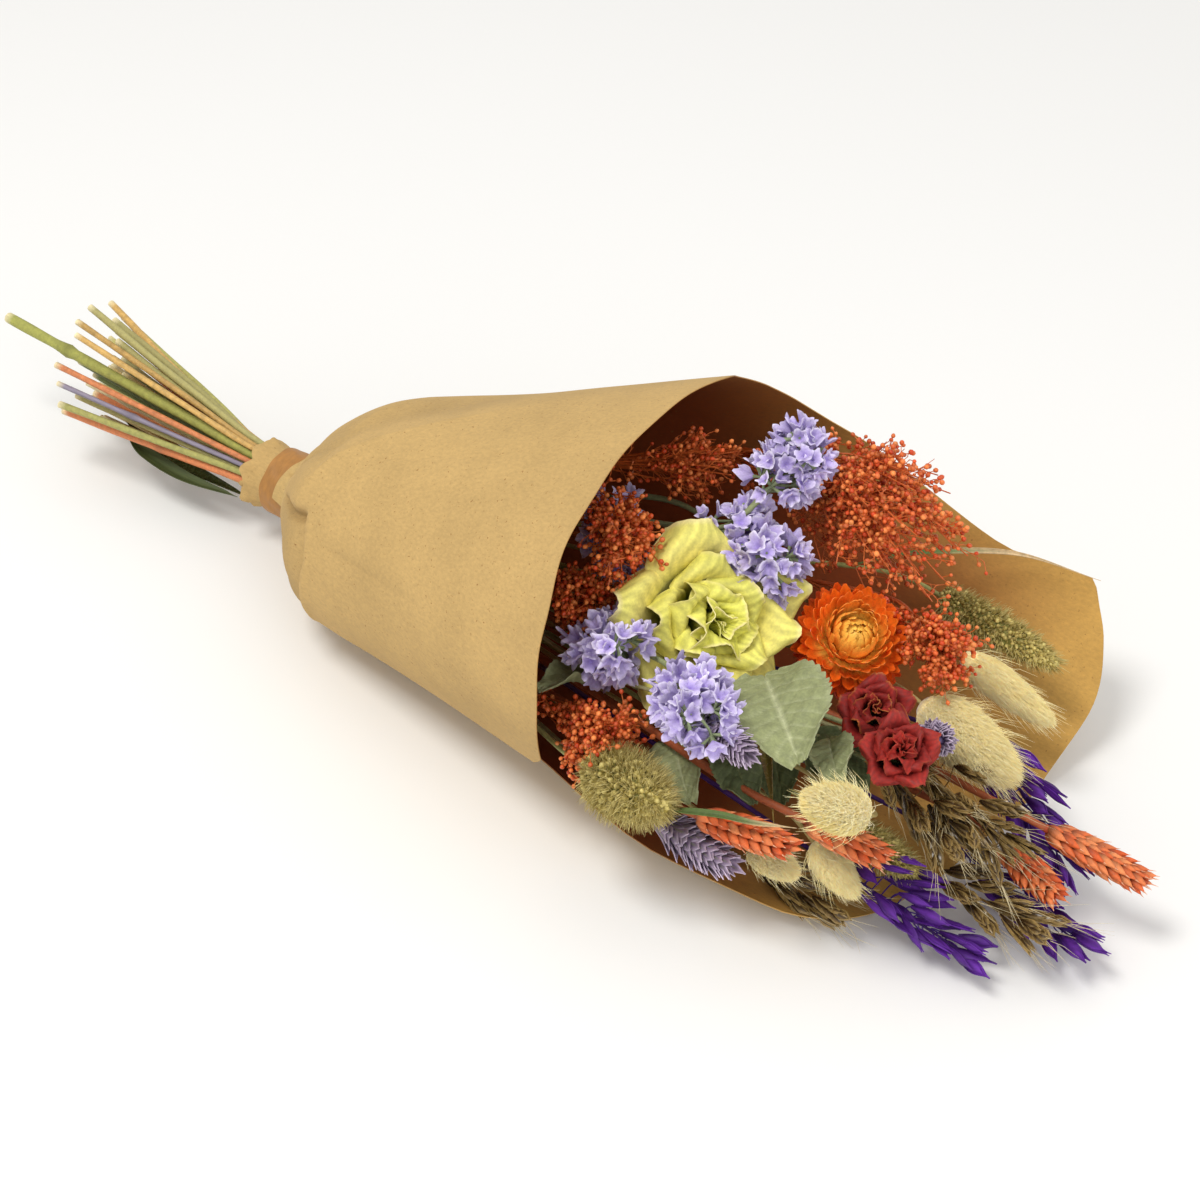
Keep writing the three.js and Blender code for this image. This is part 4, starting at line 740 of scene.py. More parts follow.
def add_leaf(shape, base, tip, half_width, roll, tint, pale, stalk_from, seed):
    """A toothed leaf, folded at its midrib, with sunk veins and a crumpled blade."""
    random = rng(seed)
    axis = Axis(base, tip, roll)
    u, v = grid(91, 25)
    outline = half_wave(np.minimum(1, 0.03 + 0.95 * u) ** 0.85) ** 0.68
    teeth, side_veins = 15, 9
    tooth = 1 - 0.09 * ((u * teeth) % 1) ** 1.3 * np.abs(v) ** 6
    x = v * (half_width * outline * tooth + 0.5)
    side_vein = zigzag(u * side_veins - np.abs(v) * 1.6, 1)
    vein = bump_at(side_vein, 1, 0.16) * (1 - smooth(0.75, 1.0, np.abs(v)))
    midrib = bump_at(v, 0, 0.05)
    phase = random.uniform(0, 6, 5)
    curl = 1.7 * np.sin(u * 9 + 2 * v + phase[0]) * np.abs(v) ** 2
    ripple = 0.9 * np.sin(u * 19 + 3 * v + phase[1]) * np.abs(v)
    crumple = 0.35 * np.sin(u * 37 + 5 * v + phase[2]) * np.sin(v * 11 + u * 8 + phase[3])
    rim = 1.6 * smooth(0.7, 1.0, np.abs(v)) * np.sin(u * 7 + phase[4])
    arch = 0.08 * axis.length * 4 * u * (1 - u)
    y = 0.22 * np.abs(x) + arch - 0.55 * vein * outline - 0.6 * midrib + curl + ripple + crumple + rim
    points = np.stack([x, y, u * axis.length], -1)
    tints = blend(tint, pale, np.clip(0.75 * midrib + 0.35 * vein, 0, 1))
    tints = blend(tints, colour(pale) * 0.8, smooth(0.8, 1.0, np.abs(v)) * 0.35)
    shape.add_sheet(axis.at(points), 0.35, tints)
    if stalk_from is not None:
        middle = axis.at(points[10, points.shape[1] // 2])
        bend = (stalk_from + middle) / 2 + np.array([0, 0, 1.0])
        path = curve_through([stalk_from, bend, middle], 10)
        shape.add_tube(path, np.linspace(0.9, 0.6, 10), colour(tint) * 0.9, 6)


def add_ribbon(shape, points, half_width, green, dry, dry_from, twist=0.0):
    """A grass blade through the given points, green at its foot and dry towards its tip."""
    rows = 50
    line = curve_through(points, rows)
    tangent = unit(np.gradient(line, axis=0))
    across = unit(np.cross(np.array([0, 0, 1.0]), tangent))
    up = np.cross(tangent, across)
    u, v = grid(rows, 7)
    width = half_width * (0.12 + 0.88 * half_wave(u ** 0.8)) * (1 - 0.75 * smooth(dry_from, 1, u))
    turn = twist * u
    side = across[:, None] * np.cos(turn)[..., None] + up[:, None] * np.sin(turn)[..., None]
    lift = np.cross(np.broadcast_to(tangent[:, None], side.shape), side)
    middle = line[:, None] + side * (v * width)[..., None] + lift * (0.5 * width * v * v)[..., None]
    tints = blend(green, dry, smooth(dry_from - 0.15, dry_from + 0.15, u + 0.1 * np.abs(v)))
    shape.add_sheet(middle, 0.25, tints * (1 - 0.25 * bump_at(v, 0, 0.2))[..., None])


# ---------------------------------------------------------------- roses


def petal(azimuth, profile, spread, crinkle, random, point, side_curl, swirl):
    """A petal in the bloom's axes, as a grid of points.

    profile has its root radius and foot height, its length, the slope it starts and stands with,
    and how far its lip rolls back, in degrees.
    """
    rows = 34
    u, v = grid(rows, 31)
    root, foot, length, start, stand, roll = profile
    # The middle of the lip stays up as a point while its sides roll back.
    rolled = smooth(0.60, 1.0, u + 0.22 * np.abs(v) ** 2) ** 1.2
    share = mix(0.4, 1.0, smooth(0.1, 0.9, np.abs(v)))
    slope = np.radians(start + (stand - start) * smooth(0.0, 0.5, u)) - np.radians(roll) * rolled * share
    step = length / (rows - 1) * (1 - 0.5 * point * np.abs(v) ** 1.4 * smooth(0.3, 1.0, u))
    radius = root + np.cumsum(np.cos(slope) * step, axis=0)
    height = foot + np.cumsum(np.sin(slope) * step, axis=0)
    margin = smooth(0.45, 1.0, np.abs(v)) * smooth(0.25, 0.9, u)
    width = half_wave(np.clip(0.27 + 0.47 * u, 0, 1)) ** 0.8 * (1 - point * smooth(0.62, 1.0, u) ** 1.3)
    angle = azimuth + v * spread * width * (1 - 0.12 * margin)
    phase = random.uniform(0, 6, 4)
    wave = (np.sin(4 * v + phase[0]) * 0.6 + 0.4 * np.sin(8 * v + 3 * u + phase[1])) * smooth(0.4, 1, u)
    ribs = np.sin(30 * v * (1 - 0.25 * u) + phase[2] + 0.8 * np.sin(7 * u)) * 0.13 * smooth(0.1, 0.4, u)
    lip_wave = 0.8 * np.sin(6 * v + 5 * u + phase[3]) * smooth(0.5, 1, u)
    back = side_curl * margin ** 1.5
    radius = radius + crinkle * wave + ribs + back * np.sin(slope) + swirl * v
    height = height + crinkle * lip_wave - back * np.cos(slope)
    return np.stack([radius * np.cos(angle), radius * np.sin(angle), height], -1), u, v


def add_petals(head, rings, palette, crinkle, thickness, lean=(0, 0, 0)):
    """Rings of petals, each wrapped round the last.

    A ring has its count, turn, spread, profile, point and side curl. palette has the colours of the
    root (partly painted shade), the inner and outer petals, the lip and the stain on it. lean moves the
    petals' lips.
    """
    random = head.random
    root_tint, inner_tint, outer_tint, lip_tint, stain = palette.split()
    for level, (count, turn, spread, profile, point, side_curl) in enumerate(rings):
        outward = level / (len(rings) - 1)
        for i in range(count):
            azimuth = turn + (i + random.uniform(-0.12, 0.12)) / count * 2 * np.pi
            varied = list(profile)
            varied[2] *= random.uniform(0.9, 1.1)
            varied[4] += random.uniform(-6, 6)
            varied[5] *= random.uniform(0.7, 1.25)
            points, u, v = petal(azimuth, varied, spread * random.uniform(0.93, 1.07), crinkle, random,
                                 point, side_curl, mix(1.3, 0.7, outward))
            # Each petal darkens towards its root, deep in the bloom: partly its own colour, partly painted
            # shade.
            tints = blend(root_tint, blend(inner_tint, outer_tint, outward), smooth(0.12, 0.62, u))
            lip = smooth(0.62, 0.95, u + 0.2 * np.abs(v) ** 2)
            tints = blend(tints, lip_tint, lip * random.uniform(0.45, 0.95))
            streak = np.sin(30 * v * (1 - 0.25 * u) + 3 * np.sin(9 * u) + random.uniform(0, 6))
            tints = tints * (1 - 0.14 * (1 + streak) * smooth(0.1, 0.5, u))[..., None]
            rim = smooth(0.93, 1.0, u) + smooth(0.93, 1.0, np.abs(v)) * smooth(0.5, 0.9, u)
            tints = blend(tints, stain, np.clip(rim, 0, 1) * random.uniform(0.25, 0.8))
            tints = tints * random.uniform(0.9, 1.06)
            height = np.clip(points[..., 2:] / head.length, 0, 1.3)
            head.shape.add_sheet(head.at(points) + np.array(lean) * height ** 1.6, thickness, tints)


def roses():
    head = Head("rose")
    add_petals(head, [
        (2, 0.3, 2.3, (1.1, 13, 14, 90, 96, 10), 0.1, 0),
        (3, 1.3, 1.5, (2.3, 11, 17, 88, 94, 30), 0.15, 0.3),
        (3, 0.2, 1.35, (3.6, 9, 20, 84, 89, 60), 0.3, 0.8),
        (3, 1.1, 1.35, (4.8, 8, 22, 76, 84, 85), 0.4, 1.6),
        (4, 0.6, 1.1, (5.4, 6, 25.5, 62, 74, 100), 0.5, 2.6),
        (4, 1.35, 1.0, (5.4, 4, 30, 46, 60, 100), 0.62, 4.2),
        (5, 0.2, 0.82, (4.8, 1.5, 36.5, 28, 42, 85), 0.68, 5.2),
    ], "848e1a cfd33a f6e784 eae770 f4e6ac", 0.32, 0.3, lean=(3.6, 1.2, -3.2))
    # The receptacle under the petals.
    head.core([(0, 0), (4.2, 0.6), (5.8, 4), (5, 9), (0, 12)], 20, "7f8a44")
    piece("rose_petals", head.shape, "rose_petals", 75, "rose_bloom")
    for k, palette in ((1, "3a0807 801613 8e1a14 a01c12 c87a34"), (2, "3a0807 801613 8e1a14 b0261a 9a3a1c")):
        head = Head(f"red_rose_{k}", f"red{k}")
        add_petals(head, [
            (2, 0.4, 2.0, (0.7, 5.5, 7.5, 88, 94, 15), 0.2, 0.2),
            (3, 1.0, 1.45, (1.5, 4.5, 9.2, 84, 90, 45), 0.3, 0.6),
            (3, 0.2, 1.35, (2.2, 3.5, 10.6, 74, 84, 75), 0.4, 1.0),
            (4, 0.8, 1.1, (2.6, 2.2, 12.6, 54, 72, 95), 0.5, 1.6),
            (5, 0.2, 0.9, (2.4, 1.0, 15, 34, 54, 95), 0.55, 2.0),
        ], palette, 0.55, 0.25)
        head.core([(0, 0), (2.8, 0.5), (3.9, 2.5), (3.2, 4.6), (0, 7)], 14, "4f5a30")
        piece(f"red_rose_petals_{k}", head.shape, "red_rose_petals", 75, f"red_rose_bloom_{k}")


# ---------------------------------------------------------------- strawflower


def strawflower():
    """Rings of papery blunt bracts round a dome, with an open disc of short florets."""
    head = Head("strawflower")
    random = head.random
    # Ring: count, start radius, height, length, width, slope in degrees, bend, share from outside in.
    rings = [
        (20, 9.2, 3.2, 10.0, 4.4, -34, 0.10, 0.0),
        (24, 9.6, 5.0, 11.0, 4.4, -18, 0.14, 0.06),
        (26, 9.8, 6.6, 11.6, 4.4, -4, 0.18, 0.14),
        (28, 10.0, 8.2, 11.4, 4.2, 10, 0.22, 0.24),
        (28, 9.8, 9.8, 11.0, 4.1, 24, 0.26, 0.34),
        (27, 9.2, 11.2, 10.4, 4.0, 38, 0.30, 0.45),
        (25, 8.4, 12.4, 9.6, 3.7, 52, 0.36, 0.56),
        (22, 7.4, 13.4, 8.6, 3.3, 66, 0.42, 0.67),
        (19, 6.2, 14.2, 7.4, 2.8, 80, 0.50, 0.78),
        (16, 5.0, 14.8, 6.2, 2.3, 92, 0.58, 0.88),
        (12, 3.6, 15.3, 4.8, 1.8, 100, 0.62, 1.0),
    ]
    u, v = grid(11, 7)
    outline = (0.5 + 0.5 * half_wave(0.1 + 0.55 * u)) * (1 - smooth(0.68, 1.0, u) ** 2 * 0.74)
    for level, (count, radius, height, length, width, slope, bend, share) in enumerate(rings):
        for i in range(count):
            angle = (i + 0.5 * (level % 2) + random.uniform(-0.2, 0.2)) / count * 2 * np.pi
            tilt = np.radians(slope + random.uniform(-7, 7))
            long, broad = length * random.uniform(0.9, 1.1), width * random.uniform(0.9, 1.1)
            curve = bend + random.uniform(-0.08, 0.08)
            # The bract rises along its length and is cupped across.
            out = u * long * (1 - 0.30 * curve * u)
            side = v * broad / 2 * outline
            up = curve * u * u * long * 1.15 + 0.30 * np.abs(side) ** 1.4
            x = out * np.cos(tilt) - up * np.sin(tilt) + radius
            z = out * np.sin(tilt) + up * np.cos(tilt) + height
            local = np.stack([x * np.cos(angle) - side * np.sin(angle),
                              x * np.sin(angle) + side * np.cos(angle), z], -1)
            # It is yellow at its foot and red-orange at its tip, paler towards the middle.
            tint = blend("dc3a0c", "ff7e1c", np.clip(share * 1.6 + random.uniform(-0.1, 0.25), 0, 1))
            tint = blend(tint, "ffda60", 0.85 * smooth(0.35, 0.95, share))
            tints = blend("ffda60", tint, smooth(-0.1, mix(0.65, 0.85, share), u))
            tints = tints * (1 - 0.12 * bump_at(v, 0, 0.18))[..., None] * random.uniform(0.9, 1.12)
            head.shape.add_sheet(head.at(local), 0.2, tints)
    head.core([(0, 1), (8.8, 2), (10.2, 6), (9.6, 10), (7.4, 13.4), (4.2, 15.2), (0, 16)], 28, "c86a1c")
    florets = 110
    k = np.arange(florets)
    radius, angle = 2.9 * np.sqrt((k + 0.5) / florets), k * GOLDEN_ANGLE
    roots = head.round(radius, angle, 14.6)
    tips = head.round(radius * 1.25, angle, 17.4 - 0.09 * radius ** 2)
    head.shape.add_strands(np.stack([roots, (roots + tips) / 2, tips], 1), [[0.3, 0.28, 0.2]],
                           head.shades("ffd468", "f09a34", florets), 5)
    piece("strawflower_bracts", head.shape, "strawflower_bracts", 75, "strawflower_bloom")


# ---------------------------------------------------------------- hairy and seedy heads

SEED = lathe([(0, 0), (0.62, 0.25), (0.8, 0.75), (0.55, 1.3), (0, 1.75)], 8)
GRAIN_LENGTH = 9.6
GRAIN = lathe([(0, 0), (0.85, 0.5), (1.6, 1.9), (1.85, 3.8), (1.55, 5.9), (0.85, 7.8), (0.3, 9.0),
               (0, GRAIN_LENGTH)], 14, ridges=5, depth=0.2)


def bunny_tail(name, hairs):
    """A soft core under fine hairs that lean to the tip, a few of them long and stray."""
    head = Head(name)
    random, wide, length = head.random, head.wide, head.length
    profile = np.array([(0, 0.0), (0.36, 0.02), (0.66, 0.12), (0.78, 0.30), (0.74, 0.52),
                        (0.56, 0.76), (0.30, 0.93), (0, 1.0)])
    head.core(profile * [wide, length * 0.95], 24, "ffeca6")
    share = random.uniform(0.0, 1.0, hairs) ** 0.9
    angle = random.uniform(0, 2 * np.pi, hairs)
    surface = np.interp(share, profile[:, 1], profile[:, 0]) * wide
    height = share * length * 0.95
    stray = 1 + random.uniform(0.8, 2.6, hairs) * (random.uniform(0, 1, hairs) > 0.96)
    reach = wide * mix(0.30, 0.14, share) * random.uniform(0.5, 1.2, hairs) * stray
    lean = length * 0.15 * random.uniform(0.7, 1.3, hairs) * mix(1, stray, 0.4)
    swirl = angle + random.normal(0, 0.24, hairs)
    root = head.round(surface * 0.9, angle, height)
    middle = head.round(surface + reach * 0.65, swirl, height + lean * 0.45)
    tip = head.round(surface + reach, swirl + random.normal(0, 0.10, hairs), height + lean)
    # Hairs near the foot of the head are painted a little darker, as shade.
    tints = head.shades("fff8c6", "ffe792", hairs, 1.5) * (0.92 + 0.08 * smooth(0.0, 0.15, share)[:, None])
    head.shape.add_strands(np.stack([root, middle, tip], 1), [[0.11, 0.085, 0.03]], tints)
    piece(f"{name}_hair", head.shape, "bunny_tail_hair", 80, name)


def foxtail(name, seeds, bristles):
    """Rows of plump seeds round a spine, with fine pale bristles between them."""
    head = Head(name)
    random, wide, length = head.random, head.wide, head.length
    add_stem(head.shape, name, "a6a25c", "aeb06c")
    head.core([(0, -1), (0.35 * wide, 1), (0.58 * wide, 0.2 * length), (0.6 * wide, 0.6 * length),
               (0.42 * wide, 0.88 * length), (0, length)], 14, "8a8844")

    def radius_at(share):
        return wide * 0.74 * half_wave(mix(0.14, 1.0, share)) ** 0.5

    k = np.arange(seeds)
    share = (k + 0.5) / seeds
    angle = k * GOLDEN_ANGLE + random.normal(0, 0.12, seeds)
    lump = 1 + 0.12 * np.sin(share * 40 + 3 * angle) + random.normal(0, 0.04, seeds)
    out = head.round(1.0, angle, 0.0) - head.origin
    along = head.axes[:, 2]
    upwards = along * random.uniform(0.3, 0.9, seeds)[:, None]
    direction = unit(out * (1 - 0.7 * share[:, None] ** 4) + upwards)
    origins = head.round(radius_at(share) * lump * 0.82, angle, share * length)
    size = random.uniform(0.85, 1.25, seeds) * (wide / 9) ** 0.35
    tints = head.shades("8a7a30", "e0cf80", seeds, 1.2) * random.uniform(0.75, 1.1, seeds)[:, None]
    head.shape.add_copies(SEED, origins, basis(direction, random.uniform(0, 3, seeds)), tints, size)
    share = random.uniform(0.0, 0.99, bristles)
    angle = random.uniform(0, 2 * np.pi, bristles)
    surface = radius_at(share)
    root = head.round(surface * 0.8, angle, share * length)
    reach = random.uniform(1.6, 4.6, bristles) * (wide / 9) ** 0.5 * (1 - 0.6 * share ** 3)
    lean = random.uniform(1.2, 4.6, bristles) * (1 + 0.5 * share ** 3)
    tip = head.round(surface + reach, angle + random.normal(0, 0.18, bristles), share * length + lean)
    head.shape.add_strands(np.stack([root, (root + tip) / 2 + along * 0.4, tip], 1), [[0.17, 0.13, 0.04]],
                           head.shades("e4d694", "94803a", bristles))
    return head.shape


def canary_grass(name):
    """Overlapping keeled scales with pale edges and drawn-out points, in spiral rows."""
    head = Head(name)
    random, wide, length = head.random, head.wide, head.length
    head.core([(0, 0.2), (0.5 * wide, 0.12 * length), (0.66 * wide, 0.42 * length),
               (0.5 * wide, 0.78 * length), (0, length)], 14, "8d78a8")
    u, v = grid(11, 7)
    outline = half_wave(np.clip(0.16 + 0.55 * u, 0, 1)) ** 0.8 * (1 - smooth(0.45, 1.0, u) ** 1.2 * 0.92)
    pale = smooth(0.3, 0.9, np.abs(v)) * 0.7 + smooth(0.6, 1.0, u) * 0.5
    tints = blend("857090", "c9b9ce", np.clip(pale, 0, 1))
    tints = blend(tints, "7c8462", bump_at(v, 0, 0.16) * (1 - smooth(0.5, 0.9, u)) * 0.7)
    rows = 13
    for row in range(rows):
        share = (row + 0.1) / rows
        count = int(round(10 * half_wave(mix(0.2, 0.85, share)) + 2))
        surface = 0.5 * wide * half_wave(mix(0.16, 0.95, share)) ** 0.6
        for i in range(count):
            angle = (i + 0.5 * (row % 2) + random.uniform(-0.15, 0.15)) / count * 2 * np.pi
            size = length * 0.30 * random.uniform(0.85, 1.12)
            splay = mix(0.5, 0.18, share ** 2) * random.uniform(0.6, 1.5)
            out = surface + mix(0.6, splay * wide, u) + 0.8 * u ** 3 - 0.7 * np.abs(v) ** 1.2 * outline
            turn = angle + v * 0.34 * wide * outline / (surface + 2.0)
            points = head.round(out, turn, share * length + u * size)
            head.shape.add_sheet(points, 0.3, tints * random.uniform(0.82, 1.12))
    piece(f"{name}_scales", head.shape, "canary_grass_scales", 70, name)


def wheat(name):
    """A wheat ear: spikelets in two ranks, each of five plump glumes, so that the face shows a braid."""
    head = Head(name)
    random, length = head.random, head.length
    add_stem(head.shape, name, "d98452", "a4532c", sides=10, joints=(-52,), swell=1.25)
    head.spine(0.9, (1.5, 0.7), "a8441c", 8, count=12, sway=0.4)
    # Glumes of one spikelet: place across and along the face, lean the same two ways, and size.
    glumes = ((1.8, 0.0, 0.58, 0.0, 1.0), (1.1, 1.6, 0.44, 0.18, 1.04), (1.1, -1.6, 0.44, -0.18, 1.04),
              (0.1, 2.1, 0.14, 0.24, 0.8), (0.1, -2.1, 0.14, -0.24, 0.8))
    origins, directions, rolls, sizes = [], [], [], []
    spikelets = int(length * 0.84 / 2.15)
    for k in range(spikelets):
        side = 1 if k % 2 else -1
        share = (k + 0.2) / spikelets
        taper = half_wave(mix(0.27, 0.84, share)) ** 0.55
        fit = taper * head.wide / 6.5
        for x, y, lean_x, lean_y, size in glumes:
            jitter = random.normal(0, 0.03, 2)
            origins.append(head.at([side * x * fit, y * fit, share * 0.84 * length - 0.4 * abs(y)]))
            lean = [side * lean_x * taper + jitter[0], lean_y * taper + jitter[1], 1.0]
            directions.append(head.turn(lean))
            rolls.append(random.uniform(0, 6))
            sizes.append(size * fit * random.uniform(0.93, 1.05) * 0.95)
    origins, directions, sizes = np.array(origins), np.array(directions), np.array(sizes)
    n = len(origins)
    # Each glume is painted darker at its foot: painted shade where the next one covers it.
    shade = 0.3 + 0.8 * smooth(0.1, 0.8, GRAIN[0][:, 2] / GRAIN_LENGTH)
    head.shape.add_copies(GRAIN, origins, basis(directions, np.array(rolls)),
                          head.shades("cf5620", "e58c54", n, 1.3), sizes, shade)
    # Short dry points at the ends of the glumes.
    tips = origins + unit(directions) * (9.3 * sizes)[:, None]
    ends = tips + unit(directions) * random.uniform(0.8, 2.6, n)[:, None]
    head.shape.add_strands(np.stack([tips, (tips + ends) / 2, ends], 1), [[0.28, 0.16, 0.05]], "f2b48e")
    return head.shape


def add_spikelet(shape, origin, direction, roll, length, width, tints_at, opening, florets, thickness):
    """A pointed grass spikelet: a pair of opened boat-shaped glumes round a few closed florets."""
    axes = basis(direction, roll)[0]
    u, v = grid(13, 7)
    outline = half_wave(np.clip(0.06 + 0.62 * u, 0, 1)) ** 0.8 * (1 - smooth(0.45, 1.0, u) ** 1.3 * 0.95)
    depth = width * 0.42
    x = v * width / 2 * outline * 1.25
    y = -depth * outline * (1 - np.abs(v) ** 1.6) + 0.6 * depth * u * 1.2 - opening * u * u * length
    for side in (1, -1):
        points = np.stack([side * x, side * y, u * length], -1)
        shape.add_sheet(points @ axes.T + origin, thickness, tints_at(u, v))
    body = lathe([(0, 0), (width * 0.16, length * 0.12), (width * 0.22, length * 0.38),
                  (width * 0.14, length * 0.62), (0, length * 0.86)], 8)
    for k in range(florets):
        offset = np.array([(k - (florets - 1) / 2) * width * 0.25, 0, 0.03 * length * k])
        shape.add_copies(body, [origin + offset @ axes.T], axes[None],
                         tints_at(np.array(0.5), np.array(0.3)) * 0.8)


def oat(name, count, spread, start=-0.04, rise=0.0):
    """A panicle of drooping, slender spikelets held close round the stalk."""
    head = Head(name)
    random, length = head.random, head.length
    add_stem(head.shape, name, "a8966e", "4d2c70")
    head.spine(0.92, (0.8, 0.35), "3a1a60", 6, count=10)
    for i in range(count):
        share = mix(start, 0.9, i / (count - 1))
        angle = i * GOLDEN_ANGLE + random.uniform(-0.4, 0.4)
        raised = np.array([0, 0, rise * (1 - smooth(start, 0.7, share))])
        reach = spread * mix(1.0, 0.35, share) * random.uniform(0.5, 1.2)
        height = share * length * 0.9
        lift = random.uniform(3, 7)
        root = head.at([0, 0, height])
        joint = head.round(reach, angle, height + lift) + raised
        bend = head.round(reach * 0.7, angle, height + lift * 0.45) + 0.6 * raised
        head.shape.add_tube(curve_through([root, bend, joint], 8), 0.26, "4a2a86", 5)
        out = head.turn([math.cos(angle) * 0.27, math.sin(angle) * 0.27, 1.0]) + random.normal(0, 0.10, 3)
        if joint[2] < 12:  # near the floor the spikelets don't point down
            out[2] = abs(out[2]) * 0.4
        tone = random.uniform(0.7, 1.2)

        def tints_at(u, v, tone=tone):
            streak = 0.5 + 0.5 * np.sin(v * 14)
            return blend("340c5e", "7032aa", np.clip(0.35 * streak + 0.5 * u, 0, 1)) * tone

        roll, size, opening = random.uniform(0, 6), random.uniform(13.5, 18), random.uniform(0.03, 0.11)
        add_spikelet(head.shape, joint, out, roll, size, 3.9, tints_at, opening, 2, 0.25)
    piece(f"{name}_panicle", head.shape, "purple_oat", 70, name)


# Blades on brome stems: where each leaves its stem, its other points, half width and colours, the
# share of it where it dries, and its twist. The first lies under the stems, the rest low in the mouth.
BROME_BLADES = {
    "brome_4": [(-90, [(-70, -1, 15), (-44, -5, 15), (-13, -5, 15.5)], 3.6, "46502a", "46502a", 0.9, 0.0)],
    "brome_1": [
        (240, [(262, -34, 50), (280, -55, 53), (297, -76, 50)], 2.6, "4a4424", "8a7440", 0.6, 0.8),
        (250, [(272, -26, 50), (296, -44, 50), (318, -64, 48)], 2.4, "4a4424", "8a7440", 0.6, -0.7),
    ],
}


def brome(name, count, rise=0.0, spread=3.6, start=0.0):
    """Slender glossy bronze spikelets with long silvery awns."""
    head = Head(name)
    random, length = head.random, head.length
    add_stem(head.shape, name, "b39a5c", "7a6034", sides=6)
    for leaves_at, points, *blade in BROME_BLADES.get(name, []):
        add_ribbon(head.shape, [stem_at(name, leaves_at), *points], *blade)
    head.spine(0.9, (0.6, 0.3), "6e5228", 5)
    roots, directions = [], []
    for i in range(count):
        share = mix(start, 0.85, i / (count - 1))
        angle = i * GOLDEN_ANGLE + random.uniform(-0.3, 0.3)
        reach = spread * mix(1.0, 0.3, share)
        height = share * length
        joint = head.round(reach, angle, height + 1) + np.array([0, 0, random.uniform(0, rise)])
        bend = head.round(reach * 0.6, angle, height + 0.4)
        head.shape.add_tube(curve_through([head.at([0, 0, height]), bend, joint], 6), 0.22, "6e5228", 5)
        out = head.turn([math.cos(angle) * 0.34, math.sin(angle) * 0.34, 1.0])
        out = unit(out + random.normal(0, 0.06, 3))
        tone = random.uniform(0.75, 1.25)

        def tints_at(u, v, tone=tone):
            streak = 0.5 + 0.5 * np.cos(v * 9)
            gold = np.clip(0.75 * u ** 1.5 * streak + 0.5 * smooth(0.75, 1.0, np.abs(v)), 0, 1)
            return blend("2c1a0a", "c8a868", gold) * tone

        # Narrow scales in two ranks, one above the other, each with its awn.
        across = basis(out, random.uniform(0, 3))[0][:, 0]
        facing = random.uniform(0, 6)
        for k in range(6):
            foot = joint + out * (2.1 * k)
            side = across * (0.8 if k % 2 else -0.8)
            add_spikelet(head.shape, foot + side * 0.5, unit(out + side * 0.16),
                         facing + random.normal(0, 0.4), 12.5 - 0.6 * k, 3.2, tints_at, 0.05, 1, 0.2)
            roots.append(foot + side * 0.6 + out * 9)
            directions.append(unit(out + side * 0.18 + random.normal(0, 0.10, 3)))
    roots, directions = np.array(roots), np.array(directions)
    reach = random.uniform(9, 20, len(roots))[:, None]
    sag = random.normal(0, 0.06, (len(roots), 3))
    paths = np.stack([roots, roots + directions * reach * 0.5, roots + (directions + sag) * reach], 1)
    paths[..., 2] = np.maximum(paths[..., 2], 0.4)  # none goes through the floor
    head.shape.add_strands(paths, [[0.13, 0.09, 0.03]], "d8c9a0")
    piece(f"{name}_spike", head.shape, "brown_brome", 70, name)


# ---------------------------------------------------------------- statice and broom

BALL = lathe([(0, -1.0), (0.72, -0.62), (1.0, 0.1), (0.72, 0.8), (0, 1.25)], 7)


def floret(random):
    """One papery funnel of unit size with crumpled lobes, opening along +Z.

    Returns its points and faces, and for each point its share of the way out and how deep it is
    in a fold, which the spray paints darker as shade.
    """
    around, rings = 36, 7
    angle = np.arange(around) / around * 2 * np.pi
    share = np.linspace(0, 1, rings)[:, None]
    phase = random.uniform(0, 6, 5)
    notch = 0.5 + 0.5 * np.cos(5 * angle + 0.5 * np.sin(angle + phase[4]))
    lobe = 1 - 0.16 * notch ** 8 * share
    flare = 0.16 + 0.84 * share ** random.uniform(0.8, 1.3)
    crumple = (np.sin(5 * angle + phase[0]) + 0.6 * np.sin(8 * angle + phase[1])
               + 0.7 * np.sin(3 * angle + phase[3])) * 0.13 * share ** 1.4
    reach = flare * lobe * (1 + 0.7 * crumple)
    tip = random.uniform(-0.4, 0.4)
    z = (share ** 0.8 + 1.3 * crumple + 0.2 * np.sin(2 * angle + phase[2]) * share
         + tip * np.cos(angle) * share)
    outer = np.stack([reach * np.cos(angle), reach * np.sin(angle), z], -1)
    inner = outer.copy()
    inner[..., :2] *= 0.90
    inner[..., 2] += 0.28 * (1 - share) + 0.10
    foot_and_throat = [[0, 0, -0.1], [0, 0, 0.35]]
    points = np.concatenate([outer.reshape(-1, 3), inner[:-1].reshape(-1, 3), foot_and_throat])
    index = np.arange(rings * around).reshape(rings, around)
    inside = np.concatenate([rings * around + index[:-1], index[-1:]])
    foot, throat = np.full(around, len(points) - 2), np.full(around, len(points) - 1)
    close = np.stack([np.roll(index[0], -1), index[0], foot], 1)
    opened = np.stack([inside[0], np.roll(inside[0], -1), throat], 1)

    def for_points(values, at_ends):
        values = np.broadcast_to(values, (rings, around))
        return np.concatenate([values.ravel(), values[:-1].ravel(), [at_ends, at_ends]])

    folds = np.clip(0.5 - 3.5 * crumple, 0, 1)
    faces = [bands(index), bands(inside, flip=True), close, opened]
    return (points, faces), for_points(share, 0), for_points(folds, 1)


